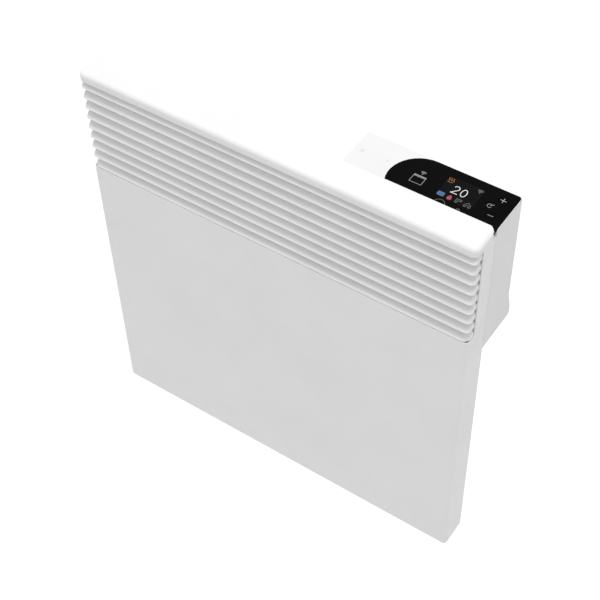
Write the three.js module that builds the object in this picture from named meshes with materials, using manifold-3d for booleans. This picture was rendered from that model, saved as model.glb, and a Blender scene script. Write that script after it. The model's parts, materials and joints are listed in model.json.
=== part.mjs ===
// Wall panel convector heater: a slim sheet-steel cover with a louvred outlet that wraps both
// front corners, a control box behind its top right corner, and a wall bracket it tilts out from.
//
// Two frames are used, both in millimetres with +z up. The exported group has its origin on the
// wall, at the middle of the heater's height. The pieces are drawn in the heater's own frame:
// x to the right, y back from the front panel, z up from the bottom edge.
import * as THREE from "three";
import { mergeVertices } from "three/addons/utils/BufferGeometryUtils.js";
import Module from "manifold-3d";

const wasm = await Module();
wasm.setup();

// ---------------------------------------------------------------- driving dimensions
// The body.
const WIDTH = 426;
const HEIGHT = 450;
const COVER_DEPTH = 32.3;
const WALL_TO_FRONT = 100;
const SHEET = 1.2;
const FIT_GAP = 0.3;
const PANEL_CORNER_RADIUS = 4;
const RETURN_FLANGE = 8;
const BOTTOM_FLANGE = 12;
const LEDGE_HALF = 204;

// The cap along the top.
const CAP_CORNER_RADIUS = 6;
const CAP_REAR_RADIUS = 6;
const CAP_FILLET = 4.5;
const CAP_HEIGHT = 10;

// The louvred outlet.
const BLADE_COUNT = 9;
const BLADE_PITCH = 12.39;
const FIRST_LIP_DROP = 18.5;
const BLADE_DEPTH = 8.6;
const BLADE_RISE = 11;
const BLADE_THICKNESS = 1.4;
const BLADE_UPRIGHT = 6;
const BLADE_TOP_BELLY = 0.6;
const BLADE_CORNER_RADIUS = 5;
const BLADE_INSET = 0.2;
const BLADE_WING = 5;
const LAST_LIP_GAP = 0.8;
const BAY_SIDE_DEPTH = 12;
const COMB_THICKNESS = 1.5;
const COMB_REACH = 3.4;
const COMB_BACK = 16;
const COMB_EDGE_GAP = 8.8;
const COMB_COUNT = 4;

// The rear shell.
const REAR_INSET = 2.5;
const REAR_STEP = 2.2;
const REAR_BOTTOM = 29;
const REAR_TOP_DROP = 5.5;
const BEAD_WIDTH = 7;
const BEAD_HEIGHT = 1;
const BEAD_FROM_EDGE = 40.5;
const BEAD_FROM_MIDDLE = 55;
const BEAD_BOTTOM_GAP = 66;
const BEAD_TOP_GAP = 56;
const BEAD_UNDER_BOX = 34;
const REAR_CORNER_RADIUS = 5;
const SCREW_RADIUS = 1.7;
const SCREW_HEAD_RADIUS = 3.6;
const SCREW_HEAD_HEIGHT = 2;
const SCREW_EDGE = 6.5;
const LOW_SCREW_HEIGHT = 60;
const HIGH_SCREW_UNDER_BOX = 22.6;

// The heating element and what holds it.
const ELEMENT_SIDE_ROOM = 53;
const ELEMENT_HEIGHT = 62;
const ELEMENT_SPREAD = 22;
const ELEMENT_FIN = 1.6;
const ELEMENT_CENTRE_Y = 17;
const ELEMENT_CENTRE_Z = 98;
const ELEMENT_TUBE_RADIUS = 4;
const ELEMENT_HUB_RADIUS = 6;
const ELEMENT_COLD_END = 26;
const ELEMENT_PIN_RADIUS = 1.5;
const ELEMENT_PIN_LENGTH = 6;
const ELEMENT_SLOT_COUNT = 6;
const ELEMENT_SLOT_WIDTH = 3;
const ELEMENT_SLOT_DEPTH = 14;
const BUSH_RADIUS = 7;
const BUSH_FLANGE = 9;
const BUSH_LENGTH = 9;
const ELEMENT_BRACKET_OFFSET = 12;
const ELEMENT_BRACKET_HEIGHT = 34;
const CUTOUT_RADIUS = 8;
const CUTOUT_X = 60;
const CUTOUT_Z = 210;
const DEFLECTOR_SHEET = 1;
const DEFLECTOR_FOOT_Z = 344;
const DEFLECTOR_FOOT_HEIGHT = 12;
const DEFLECTOR_TOP_DROP = 8;
const DEFLECTOR_SIDE_GAP = 12;
const LEAD_RADIUS = 1.4;
const LEAD_HOLE_RADIUS = 7;

// The air inlet grille in the bottom.
const INLET_SLOT_LENGTH = 26;
const INLET_SLOT_WIDTH = 5;
const INLET_SLOT_PITCH = 32.5;
const INLET_ROW_PITCH = 8.5;
const INLET_ROWS = 2;

// The control box.
const BOX_WIDTH = 154;
const BOX_HEIGHT = 154.8;
const BOX_TOP_DROP = 2.6;
const BOX_DEPTH = 46.2;
const BOX_WALL = 2;
const BOX_EDGE_RADIUS = 2;
const FOOT_DEPTH = 6;
const FOOT_STRAIGHT = 11;
const FOOT_TOP = 33;
const LID_THICKNESS = 2;
const LID_CORNER_RADIUS = 2.5;
const LID_SKIRT = 4;
const LID_SKIRT_WALL = 1.2;

// The glossy panel in the lid, with its display and keys.
const PANEL_WIDTH = 112.5;
const PANEL_SIDE_RIM = 0.5;
const PANEL_END_RIM = 1;
const PANEL_THICKNESS = 1.5;
const PANEL_END_RADIUS = 30.8;
const PANEL_CORNER = 3;
const RECESS_GAP = 0.2;
const SCREEN_WIDTH = 35.4;
const SCREEN_DEPTH = 28;
const SCREEN_FROM_RIGHT = 47.7;
const SCREEN_FROM_BACK = 23.7;
const KEY_RADIUS = 4.6;
const KEY_FLANGE_RADIUS = 5.4;
const KEY_FLANGE = 1;
const KEY_STEM_RADIUS = 2;
const KEY_STEM = 1.1;
const KEY_DISH = 0.25;
const KEY_GAP = 0.3;
const KEY_TRAVEL = 0.6;
const SWITCH_CLEARANCE = 0.2;
const KEYS = [
  { name: "plus", fromRight: 12.1, fromBack: 12.7 },
  { name: "mode", fromRight: 18.5, fromBack: 23.7 },
  { name: "minus", fromRight: 13, fromBack: 34.1 },
];

// The electronics in the box.
const BOARD_THICKNESS = 1.6;
const BOARD_DROP = 7.8;
const BOARD_WIDTH = 106;
const POST_RADIUS = 2;
const TACT_SIZE = 6;
const TACT_PLUNGER = 1;
const TACT_PLUNGER_RADIUS = 1.7;
const POWER_BOARD_HEIGHT = 57;
const LEDGE_WIDTH = 5;
const RELAY = { fromLeft: 36, width: 22, depth: 16, height: 16 };
const TRANSFORMER = { fromLeft: 100, width: 30, height: 26, core: 12, coil: 24 };
const POWER_PARTS_DEPTH = 20;
const TERMINAL = { fromLeft: 76, behindShell: 22, width: 36, depth: 18, height: 14, pitch: 12 };
const LEAD_HOLE_FROM_RIGHT = 41;
const LEAD_HOLE_HEIGHT = 23;
const LEAD_PAIR_GAP = 6;

// The mains switch on the box's left side.
const ROCKER_LENGTH = 20;
const ROCKER_WIDTH = 7.8;
const ROCKER_PROUD = 4.6;
const ROCKER_VALLEY = 1.2;
const ROCKER_ROOT = 3.2;
const ROCKER_TILT_DEG = 7;
const ROCKER_PIN_RADIUS = 1.2;
const SWITCH_BEZEL = 1.4;
const SWITCH_BEZEL_BORDER = 1.6;
const SWITCH_WALL = 1.2;
const SWITCH_DEPTH = 16;
const SWITCH_FROM_TOP = 29.4;
const SWITCH_FROM_FRONT = 24;

// The mains cable's entry in the bottom of the box.
const GLAND_BORE = 3.8;
const GLAND_RADIUS = 7;
const GLAND_FLANGE = 9.5;
const GLAND_TAIL = 9;
const GLAND_FROM_LEFT = 27;
const GLAND_FROM_FRONT = 27;

// The wall bracket and what hangs on it.
const BRACKET_SHEET = 1.5;
const BRACKET_BOTTOM = 50;
const BRACKET_HEADROOM = 12.6;
const BRACKET_REACH = 53;
const BRACKET_HALF_SPACING = 130;
const BRACKET_FLANGE = 18;
const WINDOW_LENGTH = 62;
const WINDOW_WIDTH = 22;
const WINDOW_PITCH = 80;
const WALL_SLOT_LENGTH = 12;
const WALL_SLOT_WIDTH = 6;
const WALL_SLOT_END = 38;
const RAIL_HEIGHT = 44;
const RAIL_LIP = 8;
const PIVOT_FROM_WALL = 48;
const PIVOT_HEIGHT = 60;
const PIVOT_RADIUS = 4;
const PIVOT_HEAD_RADIUS = 6;
const PIVOT_HEAD = 2;
const HOOK_SHEET = 2.5;
const HOOK_HEAD_RADIUS = 9;
const HOOK_FROM_UPRIGHT = 14;
const HOOK_FLANGE = 18;
const TONGUE_SHEET = 2.2;
const TONGUE_HEIGHT = 14;
const TONGUE_UNDER_TOP = 15;
const TONGUE_REACH = 21.5;
const TONGUE_FROM_UPRIGHT = 10;
const CLIP_SHEET = 0.8;
const CLIP_DEPTH = 21;
const CLIP_HALF_WIDTH = 4;
const CLIP_HEIGHT = 16;

// ---------------------------------------------------------------- derived places
const HALF = WIDTH / 2;
const ELEMENT_LENGTH = WIDTH - 2 * ELEMENT_SIDE_ROOM;
const CAP_BOTTOM = HEIGHT - CAP_HEIGHT;
const FIRST_LIP_Z = HEIGHT - FIRST_LIP_DROP;
const PANEL_TOP_Z = FIRST_LIP_Z - (BLADE_COUNT - 1) * BLADE_PITCH - LAST_LIP_GAP;
const FLANGE_BACK = COVER_DEPTH;
const FLANGE_EDGE = HALF - SHEET - RETURN_FLANGE;
const REAR_BACK = COVER_DEPTH + REAR_STEP;
const REAR_FRONT = REAR_BACK - SHEET;
const REAR_HALF = HALF - REAR_INSET;
const REAR_TOP = HEIGHT - REAR_TOP_DROP;
const BOX_RIGHT = HALF;
const BOX_LEFT = HALF - BOX_WIDTH;
const BOX_TOP = HEIGHT - BOX_TOP_DROP;
const BOX_BOTTOM = BOX_TOP - BOX_HEIGHT;
const BOX_FRONT = COVER_DEPTH + FIT_GAP;
const BOX_BACK = COVER_DEPTH + BOX_DEPTH;
const FOOT_BACK = BOX_BACK + FOOT_DEPTH;
const LID_BOTTOM = BOX_TOP - LID_THICKNESS;
const PANEL_RIGHT = BOX_RIGHT - PANEL_SIDE_RIM;
const PANEL_LEFT = PANEL_RIGHT - PANEL_WIDTH;
const PANEL_BACK = BOX_BACK - PANEL_END_RIM;
const PANEL_FRONT = BOX_FRONT + PANEL_END_RIM;
const PANEL_FLOOR = BOX_TOP - PANEL_THICKNESS + 0.1;
const PANEL_FACE = PANEL_FLOOR + PANEL_THICKNESS;
const BOARD_TOP = LID_BOTTOM - BOARD_DROP;
const KEY_BOTTOM = LID_BOTTOM - FIT_GAP - KEY_FLANGE - KEY_STEM;
const POWER_BOARD_Z = BOX_BOTTOM + POWER_BOARD_HEIGHT;
const WALL = WALL_TO_FRONT;
const BRACKET_TOP = BOX_BOTTOM - BRACKET_HEADROOM;
const TONGUE_CENTRE_Z = BRACKET_TOP - TONGUE_UNDER_TOP;
const PIVOT_Y = WALL - PIVOT_FROM_WALL;
const HOOK_X = BRACKET_HALF_SPACING - HOOK_FROM_UPRIGHT;
const TONGUE_X = BRACKET_HALF_SPACING - TONGUE_FROM_UPRIGHT;
const CLIP_BASE_Y = REAR_BACK + TONGUE_REACH + 5;

// ---------------------------------------------------------------- materials
const paint = (color, roughness, metalness = 0) =>
  new THREE.MeshStandardMaterial({ color, roughness, metalness });
const powderCoat = paint(0xf2f2f1, 0.45);
const whitePlastic = paint(0xefefed, 0.5);
const glossBlack = paint(0x08090a, 0.08);
const screenBlack = paint(0x16181b, 0.12);
const blackPlastic = paint(0x1b1c1e, 0.5);
const aluminium = paint(0xbfc2c4, 0.35, 1);
const galvanised = paint(0xaab0b3, 0.45, 1);
const springSteel = paint(0x9aa0a6, 0.3, 1);
const ceramic = paint(0xe4ddd0, 0.6);
const boardGreen = paint(0x1f5b35, 0.5);
const leadGrey = paint(0x8d8f92, 0.6);

// ---------------------------------------------------------------- shape helpers
const point = (x, y) => new THREE.Vector2(x, y);
const AXES = {
  x: new THREE.Matrix4().makeBasis(
    new THREE.Vector3(0, 1, 0), new THREE.Vector3(0, 0, 1), new THREE.Vector3(1, 0, 0)),
  y: new THREE.Matrix4().makeBasis(
    new THREE.Vector3(1, 0, 0), new THREE.Vector3(0, 0, 1), new THREE.Vector3(0, -1, 0)),
  z: new THREE.Matrix4(),
};

// A closed geometry as a solid, turned to face out.
function solidOf(geometry) {
  const bare = geometry.clone();
  bare.deleteAttribute("normal");
  bare.deleteAttribute("uv");
  const merged = mergeVertices(bare, 1e-4);
  const corners = merged.index.array;
  const triangles = [];
  for (let i = 0; i < corners.length; i += 3) {
    const [a, b, c] = [corners[i], corners[i + 1], corners[i + 2]];
    if (a !== b && b !== c && c !== a) triangles.push(a, b, c);
  }
  const vertProperties = merged.attributes.position.array;
  const make = (order) =>
    new wasm.Manifold(
      new wasm.Mesh({ numProp: 3, vertProperties, triVerts: new Uint32Array(order) }));
  const solid = make(triangles);
  if (solid.volume() >= 0) return solid;
  for (let i = 0; i < triangles.length; i += 3)
    [triangles[i + 1], triangles[i + 2]] = [triangles[i + 2], triangles[i + 1]];
  return make(triangles);
}

function geometryOf(solid) {
  const { numProp, vertProperties, triVerts } = solid.getMesh();
  const positions = [];
  for (let i = 0; i < vertProperties.length; i += numProp)
    positions.push(...vertProperties.subarray(i, i + 3));
  const geometry = new THREE.BufferGeometry();
  geometry.setAttribute("position", new THREE.Float32BufferAttribute(positions, 3));
  geometry.setIndex([...triVerts]);
  geometry.computeVertexNormals();
  return geometry;
}

const joined = (...solids) => solids.reduce((all, next) => all.add(next));
const cut = (solid, ...tools) => tools.reduce((left, tool) => left.subtract(tool), solid);

// An outline pushed along one axis: in (y, z) along x, in (x, z) along y, in (x, y) along z.
function prism(axis, from, to, outline, holes = [], edgeRadius = 0) {
  const shape = new THREE.Shape(outline);
  shape.holes = holes.map((hole) => new THREE.Path(hole));
  const geometry = new THREE.ExtrudeGeometry(shape, {
    depth: to - from - 2 * edgeRadius,
    bevelEnabled: edgeRadius > 0,
    bevelThickness: edgeRadius,
    bevelSize: edgeRadius,
    bevelOffset: -edgeRadius,
    bevelSegments: 3,
  });
  geometry.translate(0, 0, edgeRadius);
  geometry.applyMatrix4(AXES[axis]);
  const start = { x: [from, 0, 0], y: [0, to, 0], z: [0, 0, from] }[axis];
  geometry.translate(...start);
  return solidOf(geometry);
}

function block([x0, x1], [y0, y1], [z0, z1]) {
  const geometry = new THREE.BoxGeometry(x1 - x0, y1 - y0, z1 - z0);
  geometry.translate((x0 + x1) / 2, (y0 + y1) / 2, (z0 + z1) / 2);
  return solidOf(geometry);
}

// A profile of [radius, place along the axis] turned about an axis through a centre.
function turned(axis, centre, profile, sides = 24) {
  const geometry = new THREE.LatheGeometry(profile.map(([r, h]) => point(r, h)), sides);
  if (axis === "z") geometry.rotateX(Math.PI / 2);
  if (axis === "x") geometry.rotateZ(-Math.PI / 2);
  geometry.translate(...centre);
  return solidOf(geometry);
}

const disc = (axis, centre, radius, from, to, sides = 24) =>
  turned(axis, centre, [[0, from], [radius, from], [radius, to], [0, to]], sides);

// Corners given as [x, y, radius], with each radius drawn as an arc of a few steps.
function roundedOutline(corners, steps = 4) {
  const outline = [];
  corners.forEach(([x, y, radius = 0], i) => {
    const corner = point(x, y);
    if (!radius) {
      outline.push(corner);
      return;
    }
    const before = corners[(i + corners.length - 1) % corners.length];
    const after = corners[(i + 1) % corners.length];
    const back = point(before[0], before[1]).sub(corner).normalize();
    const ahead = point(after[0], after[1]).sub(corner).normalize();
    const half = Math.acos(back.dot(ahead)) / 2;
    const middle = back.clone().add(ahead).normalize();
    const centre = corner.clone().addScaledVector(middle, radius / Math.sin(half));
    const start = corner.clone().addScaledVector(back, radius / Math.tan(half)).sub(centre);
    const sweep = Math.sign(back.cross(ahead)) * -(Math.PI - 2 * half);
    for (let k = 0; k <= steps; k += 1)
      outline.push(start.clone().rotateAround(point(0, 0), (sweep * k) / steps).add(centre));
  });
  return outline;
}

const rectangle = (x0, x1, y0, y1, radius = 0, steps = 4) =>
  roundedOutline(
    [[x0, y0, radius], [x1, y0, radius], [x1, y1, radius], [x0, y1, radius]], steps);

// A slot with round ends, drawn along x or, when upright, along y.
function slotOutline(x, y, length, width, upright = false, steps = 3) {
  const [a, b] = upright ? [width, length] : [length, width];
  return rectangle(x - a / 2, x + a / 2, y - b / 2, y + b / 2, width / 2 - 0.01, steps);
}

// A bent sheet seen on its edge: a polyline thickened to its left.
function bentSheet(line, thickness) {
  const points = line.map(([x, y]) => point(x, y));
  const normals = points.slice(1).map((p, i) => {
    const along = p.clone().sub(points[i]).normalize();
    return point(-along.y, along.x);
  });
  const far = points.map((p, i) => {
    const a = normals[Math.max(i - 1, 0)];
    const b = normals[Math.min(i, normals.length - 1)];
    const mitre = a.clone().add(b).divideScalar(1 + a.dot(b));
    return p.clone().addScaledVector(mitre, thickness);
  });
  return [...points, ...far.reverse()];
}

// The U-shaped front of the body in plan, at an inset from its outer face: it runs from the
// right side's rear end round both front corners to the left side's rear end.
function frontPath(inset, rearY, cornerRadius, steps = 5, half = HALF - inset) {
  const radius = Math.max(cornerRadius - inset, 0.3);
  const path = [point(half, rearY)];
  for (const side of [1, -1]) {
    const centre = point(side * (half - radius), inset + radius);
    for (let k = 0; k <= steps; k += 1) {
      const turn = (Math.PI / 2) * (k / steps);
      const angle = side > 0 ? -turn : -Math.PI / 2 - turn;
      path.push(point(Math.cos(angle), Math.sin(angle)).multiplyScalar(radius).add(centre));
    }
  }
  path.push(point(-half, rearY));
  return path;
}

// A grid of points closed into a solid: rows are closed rings, with a flat lid at each end.
function ringSolid(rings) {
  const count = rings[0].length;
  const positions = rings.flat().flatMap((p) => [p.x, p.y, p.z]);
  const index = [];
  for (let i = 0; i + 1 < rings.length; i += 1)
    for (let j = 0; j < count; j += 1) {
      const next = (j + 1) % count;
      const [a, b] = [i * count + j, i * count + next];
      const [c, d] = [a + count, b + count];
      index.push(a, b, d, a, d, c);
    }
  return { positions, index, count };
}

function closedRings(rings, lidTriangles) {
  const { positions, index, count } = ringSolid(rings);
  const last = (rings.length - 1) * count;
  for (const [a, b, c] of lidTriangles) {
    index.push(a, c, b);
    index.push(last + a, last + b, last + c);
  }
  const geometry = new THREE.BufferGeometry();
  geometry.setAttribute("position", new THREE.Float32BufferAttribute(positions, 3));
  geometry.setIndex(index);
  return solidOf(geometry);
}

// ---------------------------------------------------------------- the front cover
// The rounded cap, solid, at an inset from its outer face.
function capSolid(inset, rearY, bottom, steps = 4) {
  const fillet = CAP_FILLET - inset;
  const ringAt = (ringInset, z) => {
    const half = HALF - ringInset;
    const front = Math.max(CAP_CORNER_RADIUS - ringInset, 0.3);
    const back = Math.max(CAP_REAR_RADIUS - ringInset, 0.3);
    return roundedOutline([
      [-half, ringInset, front], [half, ringInset, front],
      [half, rearY, back], [-half, rearY, back]])
      .map((p) => new THREE.Vector3(p.x, p.y, z));
  };
  const rings = [ringAt(inset, bottom)];
  for (let k = 0; k <= steps; k += 1) {
    const turn = (Math.PI / 2) * (k / steps);
    const z = HEIGHT - CAP_FILLET + fillet * Math.sin(turn);
    rings.push(ringAt(inset + fillet * (1 - Math.cos(turn)), z));
  }
  const fan = rings[0].slice(2).map((_, i) => [0, i + 1, i + 2]);
  return closedRings(rings, fan);
}

function screwPlaces() {
  const x = REAR_HALF - SCREW_EDGE + REAR_INSET;
  return [-x, x].flatMap((side) => [
    [side, LOW_SCREW_HEIGHT],
    [side, BOX_BOTTOM - HIGH_SCREW_UNDER_BOX],
  ]);
}

function frontCover() {
  const inner = HALF - SHEET;
  const rear = FLANGE_BACK - SHEET;
  const bay = CAP_BOTTOM + 1;
  const outer = joined(
    prism("z", 0, PANEL_TOP_Z, frontPath(0, COVER_DEPTH, PANEL_CORNER_RADIUS, 4)),
    block([-HALF, HALF], [BAY_SIDE_DEPTH, COVER_DEPTH], [PANEL_TOP_Z - 1, bay]),
    capSolid(0, COVER_DEPTH, CAP_BOTTOM));
  const pan = prism(
    "z", SHEET, PANEL_TOP_Z - SHEET, frontPath(SHEET, rear, PANEL_CORNER_RADIUS, 4));
  const strips = block([-inner, inner], [BAY_SIDE_DEPTH + SHEET, rear], [SHEET + 1, bay]);
  const outlet = block([-FLANGE_EDGE, FLANGE_EDGE], [COMB_BACK - 6, rear], [SHEET + 1, bay]);
  const bayRoom = block([-inner, inner], [BAY_SIDE_DEPTH - 1, rear], [PANEL_TOP_Z, bay]);
  const underCap = capSolid(SHEET, rear, CAP_BOTTOM - 1);
  const behind = block(
    [-FLANGE_EDGE, FLANGE_EDGE], [rear - 1, COVER_DEPTH + 1],
    [-1, CAP_BOTTOM - SHEET - RETURN_FLANGE / 2]);
  const below = block(
    [-inner + RETURN_FLANGE, inner - RETURN_FLANGE], [BOTTOM_FLANGE, COVER_DEPTH + 1], [-1, 2]);
  const ledgeEnds = cut(
    prism(
      "z", PANEL_TOP_Z - SHEET - 1, PANEL_TOP_Z + 1,
      frontPath(SHEET, BAY_SIDE_DEPTH, PANEL_CORNER_RADIUS, 4)),
    block([-LEDGE_HALF, LEDGE_HALF], [0, COVER_DEPTH], [0, HEIGHT]));
  const screwHoles = screwPlaces().map(([x, z]) =>
    disc("y", [x, 0, z], SCREW_RADIUS + FIT_GAP, rear - 1, COVER_DEPTH + 1, 12));
  return cut(
    outer, pan, strips, outlet, bayRoom, ledgeEnds, underCap, behind, below, ...screwHoles);
}

// ---------------------------------------------------------------- the louvres
const bladeCurve = new THREE.CubicBezierCurve(
  point(0, BLADE_THICKNESS / 2), point(0, BLADE_UPRIGHT),
  point(BLADE_TOP_BELLY, BLADE_RISE - BLADE_TOP_BELLY), point(BLADE_DEPTH, BLADE_RISE));

// A blade on its edge, as depth behind the outer face against height above its lip.
function bladeProfile(steps = 4) {
  const outerSide = [];
  const innerSide = [];
  for (let k = 0; k <= steps; k += 1) {
    const p = bladeCurve.getPoint(k / steps);
    const along = bladeCurve.getTangent(k / steps);
    const inward = point(along.y, -along.x);
    outerSide.push(p);
    innerSide.push(p.clone().addScaledVector(inward, BLADE_THICKNESS));
  }
  const slope = bladeCurve.getTangent(1);
  const heel = point(BLADE_DEPTH, BLADE_RISE - BLADE_THICKNESS / slope.x);
  const underside = innerSide.filter((p) => p.x < BLADE_DEPTH - 0.4);
  const lipCentre = outerSide[0].clone().add(innerSide[0]).divideScalar(2);
  const fromInner = innerSide[0].clone().sub(lipCentre);
  const lip = [1, 2, 3].map((k) =>
    fromInner.clone().rotateAround(point(0, 0), (-Math.PI * k) / 4).add(lipCentre));
  return [...outerSide, heel, ...underside.reverse(), ...lip].reverse();
}

// The blade's ends run back inside the body's sides.
function louvreBlade() {
  const profile = bladeProfile();
  const inside = HALF - SHEET - FIT_GAP;
  const rear = BAY_SIDE_DEPTH + BLADE_WING;
  const paths = profile.map((p) =>
    frontPath(p.x + BLADE_INSET, rear, BLADE_CORNER_RADIUS, 4, inside - p.x));
  const rings = paths[0].map((_, j) =>
    profile.map((p, i) => new THREE.Vector3(paths[i][j].x, paths[i][j].y, p.y)));
  return closedRings(rings, THREE.ShapeUtils.triangulateShape(profile, []));
}

const bladeLip = (k) => FIRST_LIP_Z - k * BLADE_PITCH;

// A comb: a plate on its edge with one sloping slot for the back of each blade.
function louvreComb(x) {
  const front = BLADE_INSET + BLADE_DEPTH - COMB_REACH;
  const slotEnd = BLADE_INSET + BLADE_DEPTH + FIT_GAP;
  const slope = bladeCurve.getTangent(1);
  const drop = (slope.y / slope.x) * (COMB_REACH + FIT_GAP);
  const room = 2 * FIT_GAP;
  const top = HEIGHT - SHEET - FIT_GAP;
  const outline = [
    point(COMB_BACK, PANEL_TOP_Z),
    point(COMB_BACK, top),
    point(Math.max(CAP_FILLET, front), top),
    point(front, top - 2),
  ];
  for (let k = 0; k < BLADE_COUNT; k += 1) {
    const upper = bladeLip(k) + BLADE_RISE + room;
    const lower = upper - BLADE_THICKNESS / slope.x - 2 * room;
    outline.push(
      point(front, upper - drop), point(slotEnd, upper), point(slotEnd, lower),
      point(front, lower - drop - FIT_GAP));
  }
  outline.push(point(front, PANEL_TOP_Z));
  return prism("x", x - COMB_THICKNESS / 2, x + COMB_THICKNESS / 2, outline);
}

// ---------------------------------------------------------------- the rear shell and the inside
function rearShell() {
  const outline = (inset) => rectangle(
    -REAR_HALF + inset, REAR_HALF - inset, REAR_BOTTOM + inset, REAR_TOP - inset,
    REAR_CORNER_RADIUS - inset);
  const tray = prism("y", COVER_DEPTH, REAR_BACK, outline(0));
  const hollow = prism("y", COVER_DEPTH - 1, REAR_FRONT, outline(SHEET));
  const beadTops = { left: REAR_TOP - BEAD_TOP_GAP, right: BOX_BOTTOM - BEAD_UNDER_BOX };
  const beadEnds = [BEAD_FROM_MIDDLE, REAR_HALF - BEAD_FROM_EDGE].flatMap((x) => [
    [-x, beadTops.left],
    [x, beadTops.right],
  ]);
  const beadOutline = ([x, top], width) => {
    const bottom = REAR_BOTTOM + BEAD_BOTTOM_GAP;
    const shorter = BEAD_WIDTH - width;
    return slotOutline(x, (bottom + top) / 2, top - bottom - shorter, width, true);
  };
  const beads = beadEnds.map((bead) =>
    prism("y", REAR_BACK - SHEET, REAR_BACK + BEAD_HEIGHT, beadOutline(bead, BEAD_WIDTH)));
  const grooves = beadEnds.map((bead) =>
    prism(
      "y", COVER_DEPTH, REAR_FRONT + BEAD_HEIGHT,
      beadOutline(bead, BEAD_WIDTH - 2 * SHEET)));
  const screwHoles = screwPlaces().map(([x, z]) =>
    disc("y", [x, 0, z], SCREW_RADIUS + FIT_GAP, COVER_DEPTH, REAR_BACK + 1, 12));
  const leadHole = disc(
    "y", [leadHoleX(), 0, leadHoleZ()], LEAD_HOLE_RADIUS, COVER_DEPTH, REAR_BACK + 1, 20);
  return cut(joined(cut(tray, hollow), ...beads), ...grooves, ...screwHoles, leadHole);
}

// A pan-head screw that clamps the rear shell to the cover's return flange.
function rearScrew([x, z]) {
  const head = REAR_BACK + SCREW_HEAD_HEIGHT;
  const tip = COVER_DEPTH - SHEET - 4;
  return turned("y", [x, 0, z], [
    [0, tip], [SCREW_RADIUS, tip + 1.5], [SCREW_RADIUS, REAR_BACK],
    [SCREW_HEAD_RADIUS, REAR_BACK], [SCREW_HEAD_RADIUS, head - 0.8],
    [SCREW_HEAD_RADIUS * 0.6, head], [0, head],
  ], 12);
}

function inletGrille() {
  const half = HALF - SHEET - 0.5;
  const front = SHEET + 1.5;
  const back = COVER_DEPTH - SHEET - 0.5;
  const count = Math.floor((2 * half - INLET_SLOT_LENGTH - 8) / INLET_SLOT_PITCH);
  const middle = (BOTTOM_FLANGE + back) / 2;
  const holes = [];
  for (let row = 0; row < INLET_ROWS; row += 1)
    for (let i = 0; i <= count; i += 1) {
      const x = (i - count / 2) * INLET_SLOT_PITCH;
      const y = middle + (row - (INLET_ROWS - 1) / 2) * INLET_ROW_PITCH;
      holes.push(slotOutline(x, y, INLET_SLOT_LENGTH, INLET_SLOT_WIDTH, false, 1));
    }
  return prism("z", SHEET, 2 * SHEET, rectangle(-half, half, front, back, 2), holes);
}

function airDeflector() {
  const foot = DEFLECTOR_FOOT_Z + DEFLECTOR_FOOT_HEIGHT;
  const half = HALF - DEFLECTOR_SIDE_GAP;
  const front = COMB_BACK + 2;
  const top = HEIGHT - DEFLECTOR_TOP_DROP;
  const line = [
    [REAR_FRONT, DEFLECTOR_FOOT_Z], [REAR_FRONT, foot], [front + 3, top - 24],
    [front + 1, top - 8], [front + 1, top],
  ];
  return prism("x", -half, half, bentSheet(line, DEFLECTOR_SHEET));
}

// The element: a tubular heater cast into an X of aluminium fins that are slotted at their tips.
function heatingElement() {
  const half = ELEMENT_LENGTH / 2;
  const end = half + ELEMENT_COLD_END;
  const lean = Math.atan2(ELEMENT_SPREAD, ELEMENT_HEIGHT);
  const finLength = Math.hypot(ELEMENT_SPREAD, ELEMENT_HEIGHT);
  const fins = [lean, -lean].map((angle) => {
    const outline = rectangle(
      -ELEMENT_FIN / 2, ELEMENT_FIN / 2, -finLength / 2, finLength / 2)
      .map((p) => p.rotateAround(point(0, 0), angle));
    return prism("x", -half, half, outline);
  });
  const pitch = ELEMENT_LENGTH / ELEMENT_SLOT_COUNT;
  const slots = [];
  for (let i = 0; i < ELEMENT_SLOT_COUNT - 1; i += 1)
    for (const side of [-1, 1]) {
      const x = -half + (i + 1) * pitch;
      const tip = (side * ELEMENT_HEIGHT) / 2;
      slots.push(block(
        [x - ELEMENT_SLOT_WIDTH / 2, x + ELEMENT_SLOT_WIDTH / 2],
        [-ELEMENT_SPREAD, ELEMENT_SPREAD],
        [Math.min(tip, tip - side * ELEMENT_SLOT_DEPTH) - 1,
          Math.max(tip, tip - side * ELEMENT_SLOT_DEPTH) + 1]));
    }
  const hub = disc("x", [0, 0, 0], ELEMENT_HUB_RADIUS, -half, half, 12);
  const core = turned("x", [0, 0, 0], [
    [0, -end - ELEMENT_PIN_LENGTH], [ELEMENT_PIN_RADIUS, -end - ELEMENT_PIN_LENGTH],
    [ELEMENT_PIN_RADIUS, -end], [ELEMENT_TUBE_RADIUS, -end],
    [ELEMENT_TUBE_RADIUS, end], [ELEMENT_PIN_RADIUS, end],
    [ELEMENT_PIN_RADIUS, end + ELEMENT_PIN_LENGTH], [0, end + ELEMENT_PIN_LENGTH],
  ], 12);
  return joined(cut(joined(...fins), ...slots), hub, core);
}

const elementBracketX = () => ELEMENT_LENGTH / 2 + ELEMENT_BRACKET_OFFSET;

// A flanged ceramic bush, drawn about the element's axis with its flange towards the middle.
function elementBush() {
  const bore = ELEMENT_TUBE_RADIUS + FIT_GAP;
  const half = BUSH_LENGTH / 2;
  return turned("x", [0, 0, 0], [
    [bore, -half], [BUSH_FLANGE, -half], [BUSH_FLANGE, -SHEET / 2 - FIT_GAP],
    [BUSH_RADIUS, -SHEET / 2 - FIT_GAP], [BUSH_RADIUS, half], [bore, half], [bore, -half],
  ], 16);
}

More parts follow.
